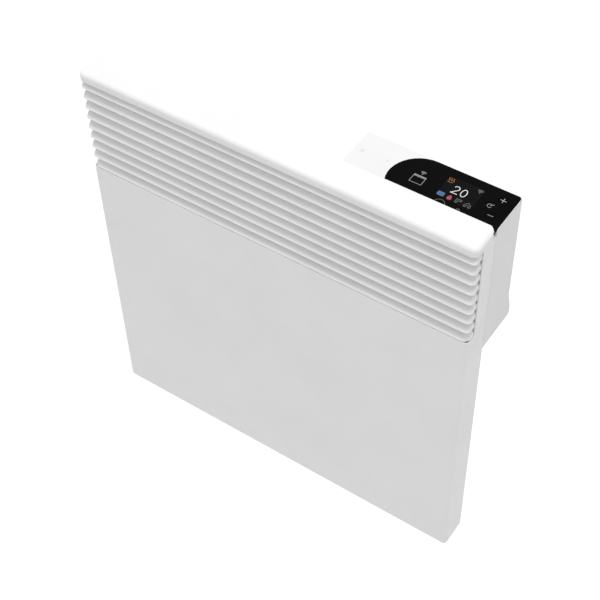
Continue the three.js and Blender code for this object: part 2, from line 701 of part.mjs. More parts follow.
// A steel angle that stands on the rear shell and takes the bush in a round hole.
function elementBracket() {
  const low = -ELEMENT_BRACKET_HEIGHT / 2;
  const high = ELEMENT_BRACKET_HEIGHT / 2;
  const back = REAR_FRONT - ELEMENT_CENTRE_Y;
  const plate = prism(
    "x", -SHEET / 2, SHEET / 2,
    roundedOutline([[-12, low, 5], [back, low], [back, high], [-12, high, 5]]));
  const flange = block([-SHEET / 2, 14], [back - SHEET, back], [low, high]);
  const hole = disc("x", [0, 0, 0], BUSH_RADIUS + FIT_GAP, -SHEET, SHEET, 20);
  return cut(joined(plate, flange), hole);
}

// The overheat cut-out: a disc thermostat on a strap, with two push-on tabs.
function overheatCutout() {
  const body = turned("y", [0, 0, 0], [
    [0, -9], [CUTOUT_RADIUS - 2, -9], [CUTOUT_RADIUS - 2, -8], [CUTOUT_RADIUS, -8],
    [CUTOUT_RADIUS, -SHEET], [0, -SHEET],
  ], 20);
  const strap = prism("y", -SHEET, 0, slotOutline(0, 0, 30, 14));
  const tabs = [-4, 4].map((x) => block([x - 0.4, x + 0.4], [-15, -8.5], [-3, 3]));
  return joined(body, strap, ...tabs);
}

const leadHoleX = () => BOX_RIGHT - LEAD_HOLE_FROM_RIGHT;
const leadHoleZ = () => BOX_BOTTOM + LEAD_HOLE_HEIGHT;

function tube(points, radius, steps, sides = 5) {
  const path = new THREE.CatmullRomCurve3(points, false, "centripetal");
  const section = new THREE.Shape(
    Array.from({ length: sides }, (_, k) => {
      const angle = (2 * Math.PI * k) / sides;
      return point(radius * Math.cos(angle), radius * Math.sin(angle));
    }));
  return solidOf(new THREE.ExtrudeGeometry(section, { steps, extrudePath: path }));
}

// A lead runs from a pin of the element up the rear shell, through its hole and down on to the
// terminal block in the box. The left lead first crosses over above the element.
function elementLead(side) {
  const pinEnd = side * (ELEMENT_LENGTH / 2 + ELEMENT_COLD_END + ELEMENT_PIN_LENGTH + FIT_GAP);
  const at = (x, y, z) => new THREE.Vector3(x, y, z);
  const run = REAR_FRONT - 4;
  const offset = (side * LEAD_PAIR_GAP) / 2;
  const holeX = leadHoleX() + offset;
  const riseX = BOX_RIGHT - 24 + (side < 0 ? -LEAD_PAIR_GAP : 0);
  const z = ELEMENT_CENTRE_Z;
  const crossing = z + ELEMENT_HEIGHT / 2 + 39;
  const start = [
    at(pinEnd, ELEMENT_CENTRE_Y, z),
    at(pinEnd + side * 5, ELEMENT_CENTRE_Y, z + 1),
    at(pinEnd + side * 7, ELEMENT_CENTRE_Y + 5, z + 10),
  ];
  const across = side > 0
    ? [at(pinEnd, run, z + 40)]
    : [at(pinEnd, run, crossing - 20), at(pinEnd + 14, run, crossing - 4),
      at(pinEnd + 34, run, crossing), at(riseX - 34, run, crossing),
      at(riseX - 12, run, crossing + 4), at(riseX, run, crossing + 20)];
  const terminal = terminalX() + side * LEAD_PAIR_GAP;
  const terminalTop = BOX_BOTTOM + BOX_WALL + TERMINAL.height;
  const end = [
    at(riseX, run, leadHoleZ() - 30),
    at(holeX + 4, run, leadHoleZ() - 8),
    at(holeX, REAR_FRONT + 1, leadHoleZ()),
    at(holeX - 8, REAR_BACK + 8, leadHoleZ() + 5),
    at(terminal + 6, terminalY(), leadHoleZ() + 4),
    at(terminal, terminalY(), terminalTop + 5.4),
    at(terminal, terminalY(), terminalTop + FIT_GAP),
  ];
  return tube([...start, ...across, ...end], LEAD_RADIUS, side > 0 ? 26 : 48);
}

// ---------------------------------------------------------------- the control box
const terminalX = () => BOX_LEFT + TERMINAL.fromLeft;
const terminalY = () => REAR_BACK + TERMINAL.behindShell;

// The box seen from the side, at an inset from its outer face. It runs past its front and top,
// which are trimmed.
function boxProfile(inset) {
  const back = BOX_BACK - inset;
  const foot = FOOT_BACK - inset;
  const bottom = BOX_BOTTOM + inset;
  return roundedOutline([
    [COVER_DEPTH - 8, bottom],
    [foot, bottom, Math.max(4 - inset, 0.5)],
    [foot, BOX_BOTTOM + FOOT_STRAIGHT, 4],
    [back, BOX_BOTTOM + FOOT_TOP, 4],
    [back, BOX_TOP + 8],
    [COVER_DEPTH - 8, BOX_TOP + 8],
  ], 3);
}

function controlBox() {
  const outer = prism("x", BOX_LEFT, BOX_RIGHT, boxProfile(0), [], BOX_EDGE_RADIUS);
  const inner = prism("x", BOX_LEFT + BOX_WALL, BOX_RIGHT - BOX_WALL, boxProfile(BOX_WALL));
  const far = BOX_TOP + 20;
  const overTop = block([BOX_LEFT - 9, BOX_RIGHT + 9], [0, FOOT_BACK + 9], [LID_BOTTOM, far]);
  const before = block(
    [BOX_LEFT - 9, BOX_RIGHT + 9], [0, BOX_FRONT], [BOX_BOTTOM - 9, far]);
  const shellStep = block(
    [BOX_LEFT - 9, BOX_RIGHT - BOX_WALL], [0, REAR_BACK], [BOX_BOTTOM - 9, far]);
  const ledges = [
    [BOX_LEFT + BOX_WALL - 0.5, BOX_LEFT + BOX_WALL + LEDGE_WIDTH],
    [BOX_RIGHT - BOX_WALL - LEDGE_WIDTH, BOX_RIGHT - BOX_WALL + 0.5],
  ].map((x) => block(x, [REAR_BACK + 4, BOX_BACK - 6], [POWER_BOARD_Z - 3, POWER_BOARD_Z]));
  const vents = [];
  for (let i = 0; i < 10; i += 1) {
    const x = BOX_LEFT + 30 + i * 9 + (i > 4 ? 14 : 0);
    vents.push(block([x, x + 3.5], [FOOT_BACK - 16, FOOT_BACK - 5], [BOX_BOTTOM - 1, BOX_BOTTOM + 3]));
  }
  const gland = disc(
    "z", [glandX(), glandY(), 0], GLAND_RADIUS + FIT_GAP, BOX_BOTTOM - 1, BOX_BOTTOM + 3, 20);
  const { z, y } = switchPlace();
  const halfLength = switchCavity().halfLength + SWITCH_WALL + FIT_GAP;
  const halfWidth = switchCavity().halfWidth + SWITCH_WALL + FIT_GAP;
  const switchHole = block(
    [BOX_LEFT - 1, BOX_LEFT + BOX_WALL + 1], [y - halfWidth, y + halfWidth],
    [z - halfLength, z + halfLength]);
  const shell = cut(outer, inner, overTop, before, shellStep);
  return cut(joined(shell, ...ledges), ...vents, gland, switchHole);
}

// The panel's left end is one arc that turns past its leftmost point and back in at the front.
function panelOutline(gap) {
  const radius = PANEL_END_RADIUS + gap;
  const centre = point(PANEL_LEFT + PANEL_END_RADIUS, PANEL_BACK - PANEL_END_RADIUS);
  const front = PANEL_FRONT - gap;
  const start = Math.PI / 2;
  const sweep = start + Math.asin((centre.y - front) / radius);
  const steps = 12;
  const end = Array.from({ length: steps + 1 }, (_, k) => {
    const angle = start + (sweep * k) / steps;
    return [centre.x + radius * Math.cos(angle), centre.y + radius * Math.sin(angle)];
  });
  return roundedOutline([
    [PANEL_RIGHT + gap, front], [PANEL_RIGHT + gap, PANEL_BACK + gap, PANEL_CORNER], ...end,
  ], 5);
}

const keyPlace = ({ fromRight, fromBack }) => [BOX_RIGHT - fromRight, BOX_BACK - fromBack];

function screenOutline(gap) {
  const x = BOX_RIGHT - SCREEN_FROM_RIGHT;
  const y = BOX_BACK - SCREEN_FROM_BACK;
  return rectangle(
    x - SCREEN_WIDTH / 2 - gap, x + SCREEN_WIDTH / 2 + gap,
    y - SCREEN_DEPTH / 2 - gap, y + SCREEN_DEPTH / 2 + gap, 1.5 + gap, 3);
}

const keyHoles = (from, to) =>
  KEYS.map((key) => disc("z", [...keyPlace(key), 0], KEY_RADIUS + KEY_GAP, from, to, 20));

function postPlaces() {
  const right = BOX_RIGHT - BOX_WALL - FIT_GAP - LID_SKIRT_WALL - POST_RADIUS - 1;
  const left = right + POST_RADIUS - BOARD_WIDTH + POST_RADIUS + 1;
  const back = BOX_BACK - BOX_WALL - FIT_GAP - LID_SKIRT_WALL - POST_RADIUS - 0.5;
  return [[left, BOX_FRONT + 9], [left, back], [right, back - 20], [right, back]];
}

function boxLid() {
  const plate = prism("z", LID_BOTTOM, BOX_TOP, roundedOutline([
    [BOX_LEFT, BOX_FRONT],
    [BOX_RIGHT, BOX_FRONT],
    [BOX_RIGHT, BOX_BACK, LID_CORNER_RADIUS],
    [BOX_LEFT, BOX_BACK, LID_CORNER_RADIUS],
  ]));
  const skirtAt = (inset) => [
    [BOX_LEFT + BOX_WALL + inset, BOX_RIGHT - BOX_WALL - inset],
    [BOX_FRONT + 6 - (inset > FIT_GAP ? 9 : 0), BOX_BACK - BOX_WALL - inset],
    [LID_BOTTOM - LID_SKIRT - (inset > FIT_GAP ? 1 : 0), LID_BOTTOM],
  ];
  const skirt = cut(block(...skirtAt(FIT_GAP)), block(...skirtAt(FIT_GAP + LID_SKIRT_WALL)));
  const posts = postPlaces().map(([x, y]) =>
    disc("z", [x, y, 0], POST_RADIUS, BOARD_TOP, LID_BOTTOM + 0.2, 12));
  const recess = prism("z", PANEL_FLOOR, BOX_TOP + 1, panelOutline(RECESS_GAP));
  const window = prism("z", LID_BOTTOM - 1, BOX_TOP + 1, screenOutline(FIT_GAP));
  return cut(
    joined(plate, skirt, ...posts), recess, window, ...keyHoles(LID_BOTTOM - 1, BOX_TOP));
}

function controlPanel() {
  const plate = prism("z", PANEL_FLOOR, PANEL_FACE, panelOutline(0));
  const window = prism("z", PANEL_FLOOR - 1, PANEL_FACE + 1, screenOutline(FIT_GAP / 2));
  return cut(plate, window, ...keyHoles(PANEL_FLOOR - 1, PANEL_FACE + 1));
}

const displayScreen = () => prism("z", BOARD_TOP, PANEL_FACE - 0.05, screenOutline(0));

// A round key with a dished top, a flange under the lid and a stem over its switch.
function panelKey() {
  const flangeTop = LID_BOTTOM - FIT_GAP;
  return turned("z", [0, 0, 0], [
    [0, KEY_BOTTOM], [KEY_STEM_RADIUS, KEY_BOTTOM], [KEY_STEM_RADIUS, flangeTop - KEY_FLANGE],
    [KEY_FLANGE_RADIUS, flangeTop - KEY_FLANGE], [KEY_FLANGE_RADIUS, flangeTop],
    [KEY_RADIUS, flangeTop], [KEY_RADIUS, PANEL_FACE - 0.3], [KEY_RADIUS - 0.3, PANEL_FACE],
    [0, PANEL_FACE - KEY_DISH],
  ], 20);
}

// ---------------------------------------------------------------- the electronics
function circuitBoard() {
  const [right, back] = postPlaces()[3];
  const left = postPlaces()[0][0] - POST_RADIUS - 1;
  return prism(
    "z", BOARD_TOP - BOARD_THICKNESS, BOARD_TOP,
    rectangle(left, right + POST_RADIUS + 0.6, BOX_FRONT + 5, back + POST_RADIUS + 0.2, 1.5, 2));
}

function keySwitch() {
  const top = KEY_BOTTOM - KEY_TRAVEL - SWITCH_CLEARANCE;
  const half = TACT_SIZE / 2;
  return joined(
    block([-half, half], [-half, half], [BOARD_TOP, top - TACT_PLUNGER]),
    disc("z", [0, 0, 0], TACT_PLUNGER_RADIUS, top - TACT_PLUNGER - 0.2, top, 12));
}

const powerBoard = () =>
  prism("z", POWER_BOARD_Z, POWER_BOARD_Z + BOARD_THICKNESS, rectangle(
    BOX_LEFT + BOX_WALL + 0.5, BOX_RIGHT - BOX_WALL - 0.5, REAR_BACK + 3, BOX_BACK - 5, 2, 2));

function relay() {
  const base = POWER_BOARD_Z + BOARD_THICKNESS;
  const [x, y] = [BOX_LEFT + RELAY.fromLeft, REAR_BACK + POWER_PARTS_DEPTH];
  const outline = rectangle(
    x - RELAY.width / 2, x + RELAY.width / 2, y - RELAY.depth / 2, y + RELAY.depth / 2, 1.2, 2);
  return prism("z", base, base + RELAY.height, outline);
}

// A small mains transformer: an iron stack with a wound bobbin through it.
function transformer() {
  const base = POWER_BOARD_Z + BOARD_THICKNESS;
  const [x, y] = [BOX_LEFT + TRANSFORMER.fromLeft, REAR_BACK + POWER_PARTS_DEPTH];
  const { width, height, core, coil } = TRANSFORMER;
  const iron = block(
    [x - width / 2, x + width / 2], [y - core / 2, y + core / 2], [base, base + height]);
  const winding = prism("x", x - width / 3, x + width / 3, rectangle(
    y - coil / 2, y + coil / 2, base + height * 0.15, base + height * 0.85, 4, 3));
  return joined(iron, winding);
}

// Three screw terminals in one moulded block.
function terminalBlock() {
  const base = BOX_BOTTOM + BOX_WALL;
  const [x, y] = [terminalX(), terminalY()];
  const { width, depth, height, pitch } = TERMINAL;
  const body = block(
    [x - width / 2, x + width / 2], [y - depth / 2, y + depth / 2], [base, base + height]);
  const poles = [-pitch, 0, pitch];
  const wells = poles.map((dx) =>
    disc("z", [x + dx, y + depth / 4, 0], 2.4, base + height * 0.4, base + height + 1, 10));
  const entries = poles.map((dx) =>
    disc("y", [x + dx, 0, base + 4], 2, y - depth / 2 - 1, y - depth / 6, 10));
  return cut(body, ...wells, ...entries);
}

const glandX = () => BOX_LEFT + GLAND_FROM_LEFT;
const glandY = () => BOX_FRONT + GLAND_FROM_FRONT;

// The cable entry: a bushing that grips the box's bottom wall, with a tapered tail below.
function cableGland() {
  const low = BOX_BOTTOM - FIT_GAP;
  const high = BOX_BOTTOM + BOX_WALL + FIT_GAP;
  return turned("z", [glandX(), glandY(), 0], [
    [GLAND_BORE, low - GLAND_TAIL], [GLAND_BORE + 1.2, low - GLAND_TAIL],
    [GLAND_RADIUS - 0.6, low - 2], [GLAND_FLANGE, low - 2], [GLAND_FLANGE, low],
    [GLAND_RADIUS, low], [GLAND_RADIUS, high], [GLAND_FLANGE - 1, high],
    [GLAND_FLANGE - 1, high + 2], [GLAND_BORE, high + 2], [GLAND_BORE, low - GLAND_TAIL],
  ], 16);
}

// The room air sensor: a bead on a small foot, in the vented toe of the box.
function roomSensor() {
  const base = BOX_BOTTOM + BOX_WALL;
  const x = BOX_LEFT + 30 + 4.5 * 9 + 7 + 1.75;
  const y = FOOT_BACK - 10;
  return joined(
    block([x - 4, x + 4], [y - 4, y + 4], [base, base + 1.2]),
    turned("z", [x, y, 0], [
      [0, base + 1], [1, base + 1], [1, base + 6], [2.2, base + 7], [2.4, base + 9],
      [1.6, base + 11], [0, base + 11.6],
    ], 12));
}

// ---------------------------------------------------------------- the mains switch
const switchPlace = () => ({
  x: BOX_LEFT - SWITCH_BEZEL + ROCKER_PROUD - 0.6,
  y: COVER_DEPTH + SWITCH_FROM_FRONT,
  z: BOX_TOP - SWITCH_FROM_TOP,
});
const switchCavity = () => ({
  halfLength: ROCKER_LENGTH / 2 + 1.2,
  halfWidth: ROCKER_WIDTH / 2 + FIT_GAP,
});

function switchHousing() {
  const { x, y, z } = switchPlace();
  const { halfLength, halfWidth } = switchCavity();
  const around = (border, from, to) => block(
    [from, to], [y - halfWidth - border, y + halfWidth + border],
    [z - halfLength - border, z + halfLength + border]);
  const bezel = around(SWITCH_WALL + SWITCH_BEZEL_BORDER, BOX_LEFT - SWITCH_BEZEL, BOX_LEFT);
  const body = around(SWITCH_WALL, BOX_LEFT - SWITCH_BEZEL, BOX_LEFT + SWITCH_DEPTH);
  const cavity = around(0, BOX_LEFT - SWITCH_BEZEL - 1, x + ROCKER_ROOT + 3);
  const pinHole = disc(
    "y", [x, y, z], ROCKER_PIN_RADIUS + FIT_GAP, -halfWidth - SWITCH_WALL - 1,
    halfWidth + SWITCH_WALL + 1, 14);
  return cut(joined(bezel, body), cavity, pinHole);
}

// The rocker about its pin, pushed in at the bottom: outwards is -x.
function switchRocker() {
  const half = ROCKER_LENGTH / 2;
  const { halfWidth } = switchCavity();
  const outline = roundedOutline([
    [-ROCKER_PROUD, half, 0.6], [-1.5, half], [ROCKER_ROOT, 3.5], [ROCKER_ROOT, -3.5],
    [-1.5, -half], [-ROCKER_PROUD, -half, 0.6], [-ROCKER_PROUD + ROCKER_VALLEY, 0],
  ], 3);
  return joined(
    prism("y", -ROCKER_WIDTH / 2, ROCKER_WIDTH / 2, outline),
    disc("y", [0, 0, 0], ROCKER_PIN_RADIUS, -halfWidth - SWITCH_WALL / 2,
      halfWidth + SWITCH_WALL / 2, 14));
}

// ---------------------------------------------------------------- the wall bracket
// The pieces that come in pairs are drawn for the right side and mirrored for the left.
function mirrored(solid) {
  return solid.mirror([1, 0, 0]);
}

function bracketUpright() {
  const inner = BRACKET_HALF_SPACING;
  const front = WALL - BRACKET_REACH;
  const web = prism("x", inner, inner + BRACKET_SHEET, roundedOutline([
    [front, BRACKET_BOTTOM, 8], [WALL, BRACKET_BOTTOM], [WALL, BRACKET_TOP],
    [front, BRACKET_TOP, 8],
  ]), [-0.5, 0.5].map((share) => slotOutline(
    (front + WALL) / 2, (BRACKET_BOTTOM + BRACKET_TOP) / 2 + share * WINDOW_PITCH,
    WINDOW_LENGTH, WINDOW_WIDTH, true)));
  const flange = prism(
    "y", WALL - BRACKET_SHEET, WALL,
    rectangle(inner - BRACKET_FLANGE, inner + BRACKET_SHEET, BRACKET_BOTTOM, BRACKET_TOP),
    [BRACKET_BOTTOM + WALL_SLOT_END, BRACKET_TOP - WALL_SLOT_END].map((z) =>
      slotOutline(inner - BRACKET_FLANGE / 2, z, WALL_SLOT_LENGTH, WALL_SLOT_WIDTH)));
  const tab = block(
    [TONGUE_X - CLIP_HALF_WIDTH - 2.5, inner + 0.5],
    [CLIP_BASE_Y + CLIP_SHEET, CLIP_BASE_Y + CLIP_SHEET + BRACKET_SHEET],
    [TONGUE_CENTRE_Z - CLIP_HEIGHT / 2 - 2, TONGUE_CENTRE_Z + CLIP_HEIGHT / 2 + 2]);
  const pivotHole = disc(
    "x", [0, PIVOT_Y, PIVOT_HEIGHT], PIVOT_RADIUS + FIT_GAP, inner - 1,
    inner + BRACKET_SHEET + 1, 20);
  return cut(joined(web, flange, tab), pivotHole);
}

// The rail between the uprights lies on the wall, with keyholes and two stiffening lips.
function bracketRail() {
  const half = BRACKET_HALF_SPACING - BRACKET_FLANGE;
  const middle = HEIGHT / 2;
  const [low, high] = [middle - RAIL_HEIGHT / 2, middle + RAIL_HEIGHT / 2];
  const keyholes = [-0.6, 0.6].map((share) => {
    const x = share * half;
    return joined(
      disc("y", [x, 0, middle - 6], 5, WALL - 3, WALL + 1, 20),
      prism("y", WALL - 3, WALL + 1, slotOutline(x, middle + 1, 16, 5.2, true)));
  });
  return cut(
    joined(
      block([-half, half], [WALL - BRACKET_SHEET, WALL], [low, high]),
      block([-half, half], [WALL - RAIL_LIP, WALL], [low, low + BRACKET_SHEET]),
      block([-half, half], [WALL - RAIL_LIP, WALL], [high - BRACKET_SHEET, high])),
    ...keyholes);
}

function pivotRod() {
  const end = BRACKET_HALF_SPACING + BRACKET_SHEET + FIT_GAP;
  const tip = end + PIVOT_HEAD;
  return turned("x", [0, PIVOT_Y, PIVOT_HEIGHT], [
    [0, -tip], [PIVOT_HEAD_RADIUS, -tip], [PIVOT_HEAD_RADIUS, -end], [PIVOT_RADIUS, -end],
    [PIVOT_RADIUS, end], [PIVOT_HEAD_RADIUS, end], [PIVOT_HEAD_RADIUS, tip], [0, tip],
  ], 16);
}

// A hook on the heater that sits over the pivot rod and lets it lift off.
function hingeHook() {
  const slot = PIVOT_RADIUS + FIT_GAP;
  const [low, high] = [PIVOT_HEIGHT - 16, PIVOT_HEIGHT + 20];
  const arm = prism("x", HOOK_X, HOOK_X + HOOK_SHEET, roundedOutline([
    [REAR_BACK, low],
    [PIVOT_Y + HOOK_HEAD_RADIUS, PIVOT_HEIGHT - HOOK_HEAD_RADIUS, 2],
    [PIVOT_Y + HOOK_HEAD_RADIUS, PIVOT_HEIGHT + HOOK_HEAD_RADIUS, HOOK_HEAD_RADIUS - 1],
    [REAR_BACK, high],
  ]));
  const flange = block(
    [HOOK_X - HOOK_FLANGE, HOOK_X + HOOK_SHEET], [REAR_BACK, REAR_BACK + HOOK_SHEET],
    [low, high]);
  const seat = disc("x", [0, PIVOT_Y, PIVOT_HEIGHT], slot, HOOK_X - 1, HOOK_X + HOOK_SHEET + 1);
  const mouth = block(
    [HOOK_X - 1, HOOK_X + HOOK_SHEET + 1], [PIVOT_Y - slot, PIVOT_Y + slot],
    [PIVOT_HEIGHT - 2 * HOOK_HEAD_RADIUS, PIVOT_HEIGHT]);
  return cut(joined(arm, flange), seat, mouth);
}

// The tongue that the bracket's spring clip grips to hold the heater upright.
function catchTongue() {
  const half = TONGUE_SHEET / 2;
  const [low, high] = [TONGUE_CENTRE_Z - TONGUE_HEIGHT / 2, TONGUE_CENTRE_Z + TONGUE_HEIGHT / 2];
  const blade = prism("x", TONGUE_X - half, TONGUE_X + half, roundedOutline([
    [REAR_BACK, low], [REAR_BACK + TONGUE_REACH, low, 3], [REAR_BACK + TONGUE_REACH, high, 3],
    [REAR_BACK, high],
  ]));
  const flange = block(
    [TONGUE_X - HOOK_FLANGE / 2, TONGUE_X + HOOK_FLANGE / 2],
    [REAR_BACK, REAR_BACK + SHEET], [low - 4, high + 4]);
  return joined(blade, flange);
}

function springClip() {
  const neck = TONGUE_SHEET / 2 + FIT_GAP;
  const base = CLIP_BASE_Y;
  const tip = base - CLIP_DEPTH;
  const half = [
    [-neck - 2.2, tip], [-neck, tip + 5], [-CLIP_HALF_WIDTH, tip + 11],
    [-CLIP_HALF_WIDTH, base],
  ];
  const line = [...half, ...half.map(([x, y]) => [-x, y]).reverse()];
  const outline = bentSheet(line, CLIP_SHEET).map((p) => point(p.x + TONGUE_X, p.y));
  return prism(
    "z", TONGUE_CENTRE_Z - CLIP_HEIGHT / 2, TONGUE_CENTRE_Z + CLIP_HEIGHT / 2, outline);
}

// ---------------------------------------------------------------- the assembly
const part = new THREE.Group();
const drawn = new THREE.Group();
drawn.position.set(0, -WALL_TO_FRONT, -HEIGHT / 2);
part.add(drawn);

function place(name, solid, material, position = [0, 0, 0], parent = drawn) {
  const mesh = new THREE.Mesh(geometryOf(solid), material);
  mesh.name = name;
  mesh.position.set(...position);
  parent.add(mesh);
  return mesh;
}

place("front_cover", frontCover(), powderCoat);
const blade = louvreBlade();
for (let k = 0; k < BLADE_COUNT; k += 1)
  place(`louvre_blade_${k + 1}`, blade, powderCoat, [0, 0, bladeLip(k)]);
const combSpan = 2 * (FLANGE_EDGE - COMB_EDGE_GAP);
for (let i = 0; i < COMB_COUNT; i += 1) {
  const x = (i / (COMB_COUNT - 1) - 0.5) * combSpan;
  place(`louvre_comb_${i + 1}`, louvreComb(x), powderCoat);
}

place("rear_shell", rearShell(), powderCoat);
screwPlaces().forEach((spot, i) => place(`rear_screw_${i + 1}`, rearScrew(spot), galvanised));
place("inlet_grille", inletGrille(), powderCoat);
place("air_deflector", airDeflector(), galvanised);

const elementAxis = new THREE.Group();
elementAxis.position.set(0, ELEMENT_CENTRE_Y, ELEMENT_CENTRE_Z);
drawn.add(elementAxis);
place("heating_element", heatingElement(), aluminium, [0, 0, 0], elementAxis);
for (const [side, name] of [[1, "right"], [-1, "left"]]) {
  const facing = (solid) => (side > 0 ? solid : mirrored(solid));
  const x = side * elementBracketX();
  place(`element_bush_${name}`, facing(elementBush()), ceramic, [x, 0, 0], elementAxis);
  place(`element_bracket_${name}`, facing(elementBracket()), galvanised, [x, 0, 0], elementAxis);
  place(`element_lead_${name}`, elementLead(side), leadGrey);
  place(`hinge_hook_${name}`, facing(hingeHook()), galvanised);
  place(`catch_tongue_${name}`, facing(catchTongue()), galvanised);
  place(`bracket_upright_${name}`, facing(bracketUpright()), galvanised);
  place(`spring_clip_${name}`, facing(springClip()), springSteel);
}
place("overheat_cutout", overheatCutout(), blackPlastic, [CUTOUT_X, REAR_FRONT, CUTOUT_Z]);
place("bracket_rail", bracketRail(), galvanised);
place("pivot_rod", pivotRod(), springSteel);

place("control_box", controlBox(), whitePlastic);
place("control_box_lid", boxLid(), whitePlastic);
place("control_panel", controlPanel(), glossBlack);
place("display_screen", displayScreen(), screenBlack);
for (const key of KEYS) {
  const spot = [...keyPlace(key), 0];
  place(`key_${key.name}`, panelKey(), glossBlack, spot);
  place(`key_switch_${key.name}`, keySwitch(), blackPlastic, spot);
}
place("circuit_board", circuitBoard(), boardGreen);
place("power_board", powerBoard(), boardGreen);
place("relay", relay(), blackPlastic);
place("transformer", transformer(), galvanised);
place("terminal_block", terminalBlock(), whitePlastic);
place("cable_gland", cableGland(), whitePlastic);
place("room_sensor", roomSensor(), blackPlastic);
place("switch_housing", switchHousing(), blackPlastic);

const rockerPivot = new THREE.Group();
const { x: rockerX, y: rockerY, z: rockerZ } = switchPlace();
rockerPivot.position.set(rockerX, rockerY, rockerZ);
rockerPivot.rotation.y = -THREE.MathUtils.degToRad(ROCKER_TILT_DEG);
drawn.add(rockerPivot);
place("switch_rocker", switchRocker(), whitePlastic, [0, 0, 0], rockerPivot);

export default part;
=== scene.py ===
import json
import math

import bmesh
import bpy
from mathutils import Matrix, Vector

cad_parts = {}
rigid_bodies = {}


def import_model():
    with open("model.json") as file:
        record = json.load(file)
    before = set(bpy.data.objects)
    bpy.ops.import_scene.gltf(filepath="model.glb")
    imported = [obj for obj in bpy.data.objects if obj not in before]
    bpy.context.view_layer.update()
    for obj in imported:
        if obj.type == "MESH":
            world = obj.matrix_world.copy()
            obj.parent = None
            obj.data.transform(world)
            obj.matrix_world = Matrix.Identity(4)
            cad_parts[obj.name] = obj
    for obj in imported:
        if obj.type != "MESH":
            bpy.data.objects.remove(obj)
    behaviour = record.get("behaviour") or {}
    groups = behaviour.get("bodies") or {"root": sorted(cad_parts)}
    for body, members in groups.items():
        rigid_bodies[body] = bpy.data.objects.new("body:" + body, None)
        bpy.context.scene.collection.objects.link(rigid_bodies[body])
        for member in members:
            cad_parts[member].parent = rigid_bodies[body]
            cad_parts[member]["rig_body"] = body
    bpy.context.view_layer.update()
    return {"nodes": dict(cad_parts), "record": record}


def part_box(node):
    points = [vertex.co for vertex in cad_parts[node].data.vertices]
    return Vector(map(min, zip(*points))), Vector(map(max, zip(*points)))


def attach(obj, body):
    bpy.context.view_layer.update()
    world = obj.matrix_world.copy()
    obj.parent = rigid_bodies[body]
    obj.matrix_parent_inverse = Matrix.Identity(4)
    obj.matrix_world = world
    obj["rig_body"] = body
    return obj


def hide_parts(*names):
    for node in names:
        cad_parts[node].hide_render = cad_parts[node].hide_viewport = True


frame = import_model()

# ------------------------------------------------------------------ the drawing frame
# Pieces are drawn in the heater's own frame, in millimetres: x right, y back from the front
# panel, z up from the bottom edge. The row frame that the CAD uses is in metres.
MM = 0.001
COVER_LOW, COVER_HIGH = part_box("front_cover")
LOCAL_Y = round(COVER_LOW.y / MM, 2)
LOCAL_Z = round(COVER_LOW.z / MM, 2)
HALF_WIDTH = round(COVER_HIGH.x / MM, 2)


def at(x, y, z):
    """A point of the drawing frame as a point of the row frame."""
    return Vector((x * MM, (y + LOCAL_Y) * MM, (z + LOCAL_Z) * MM))


def drawn(point):
    """A point of the row frame as a point of the drawing frame, to 0.01 mm."""
    return (round(point.x / MM, 2), round(point.y / MM - LOCAL_Y, 2),
            round(point.z / MM - LOCAL_Z, 2))


def drawn_box(node):
    """A CAD node's lowest and highest corners in the drawing frame."""
    low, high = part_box(node)
    return drawn(low), drawn(high)


# ------------------------------------------------------------------ camera
CAMERA_PLACE = (0.529635, -0.795621, 1.021332)
CAMERA_RIGHT = (0.82777276, 0.56068231, -0.02067873)
CAMERA_UP = (-0.40878269, 0.62793830, 0.66226143)
LENS = 80.9676
SENSOR_WIDTH = 36.0
NEAREST_SEEN = 0.05
FARTHEST_SEEN = 50.0


def make_camera():
    up = Vector(CAMERA_UP)
    back = Vector(CAMERA_RIGHT).cross(up).normalized()
    right = up.cross(back).normalized()
    turn = Matrix((right, up.normalized(), back)).transposed()
    data = bpy.data.cameras.new("camera")
    data.sensor_width = SENSOR_WIDTH
    data.lens = LENS
    data.clip_start = NEAREST_SEEN
    data.clip_end = FARTHEST_SEEN
    camera = bpy.data.objects.new("camera", data)
    camera.matrix_world = Matrix.Translation(CAMERA_PLACE) @ turn.to_4x4()
    bpy.context.scene.collection.objects.link(camera)
    bpy.context.scene.camera = camera


# ------------------------------------------------------------------ shader nodes
# Noise mostly stays within these values, so they are spread over the whole of a range.
NOISE_LOW = 0.3
NOISE_HIGH = 0.7
WHITE = (1, 1, 1, 1)


def socket(node, name, value):
    node.inputs[name].default_value = value


def new_material(name):
    material = bpy.data.materials.new(name)
    material.use_nodes = True
    tree = material.node_tree
    place = tree.nodes.new("ShaderNodeTexCoord")
    return material, tree, tree.nodes["Principled BSDF"], place.outputs["Object"]


def stretched(tree, place, stretch):
    node = tree.nodes.new("ShaderNodeMapping")
    socket(node, "Scale", stretch)
    tree.links.new(place, node.inputs["Vector"])
    return node.outputs["Vector"]


def noise(tree, place, scale, detail=2.0, roughness=0.5):
    node = tree.nodes.new("ShaderNodeTexNoise")
    socket(node, "Scale", scale)
    socket(node, "Detail", detail)
    socket(node, "Roughness", roughness)
    tree.links.new(place, node.inputs["Vector"])
    return node.outputs["Fac"]


def spread(tree, value, low, high):
    """A texture value as a number from low to high."""
    node = tree.nodes.new("ShaderNodeMapRange")
    socket(node, "From Min", NOISE_LOW)
    socket(node, "From Max", NOISE_HIGH)
    socket(node, "To Min", low)
    socket(node, "To Max", high)
    tree.links.new(value, node.inputs["Value"])
    return node.outputs["Result"]


def two_tone(tree, value, dark, light):
    """A colour between dark and light, by a texture value."""
    node = tree.nodes.new("ShaderNodeMix")
    node.data_type = "RGBA"
    first, second = [s for s in node.inputs if s.type == "RGBA"]
    first.default_value = (*dark, 1)
    second.default_value = (*light, 1)
    tree.links.new(spread(tree, value, 0.0, 1.0), node.inputs["Factor"])
    return next(s for s in node.outputs if s.type == "RGBA")


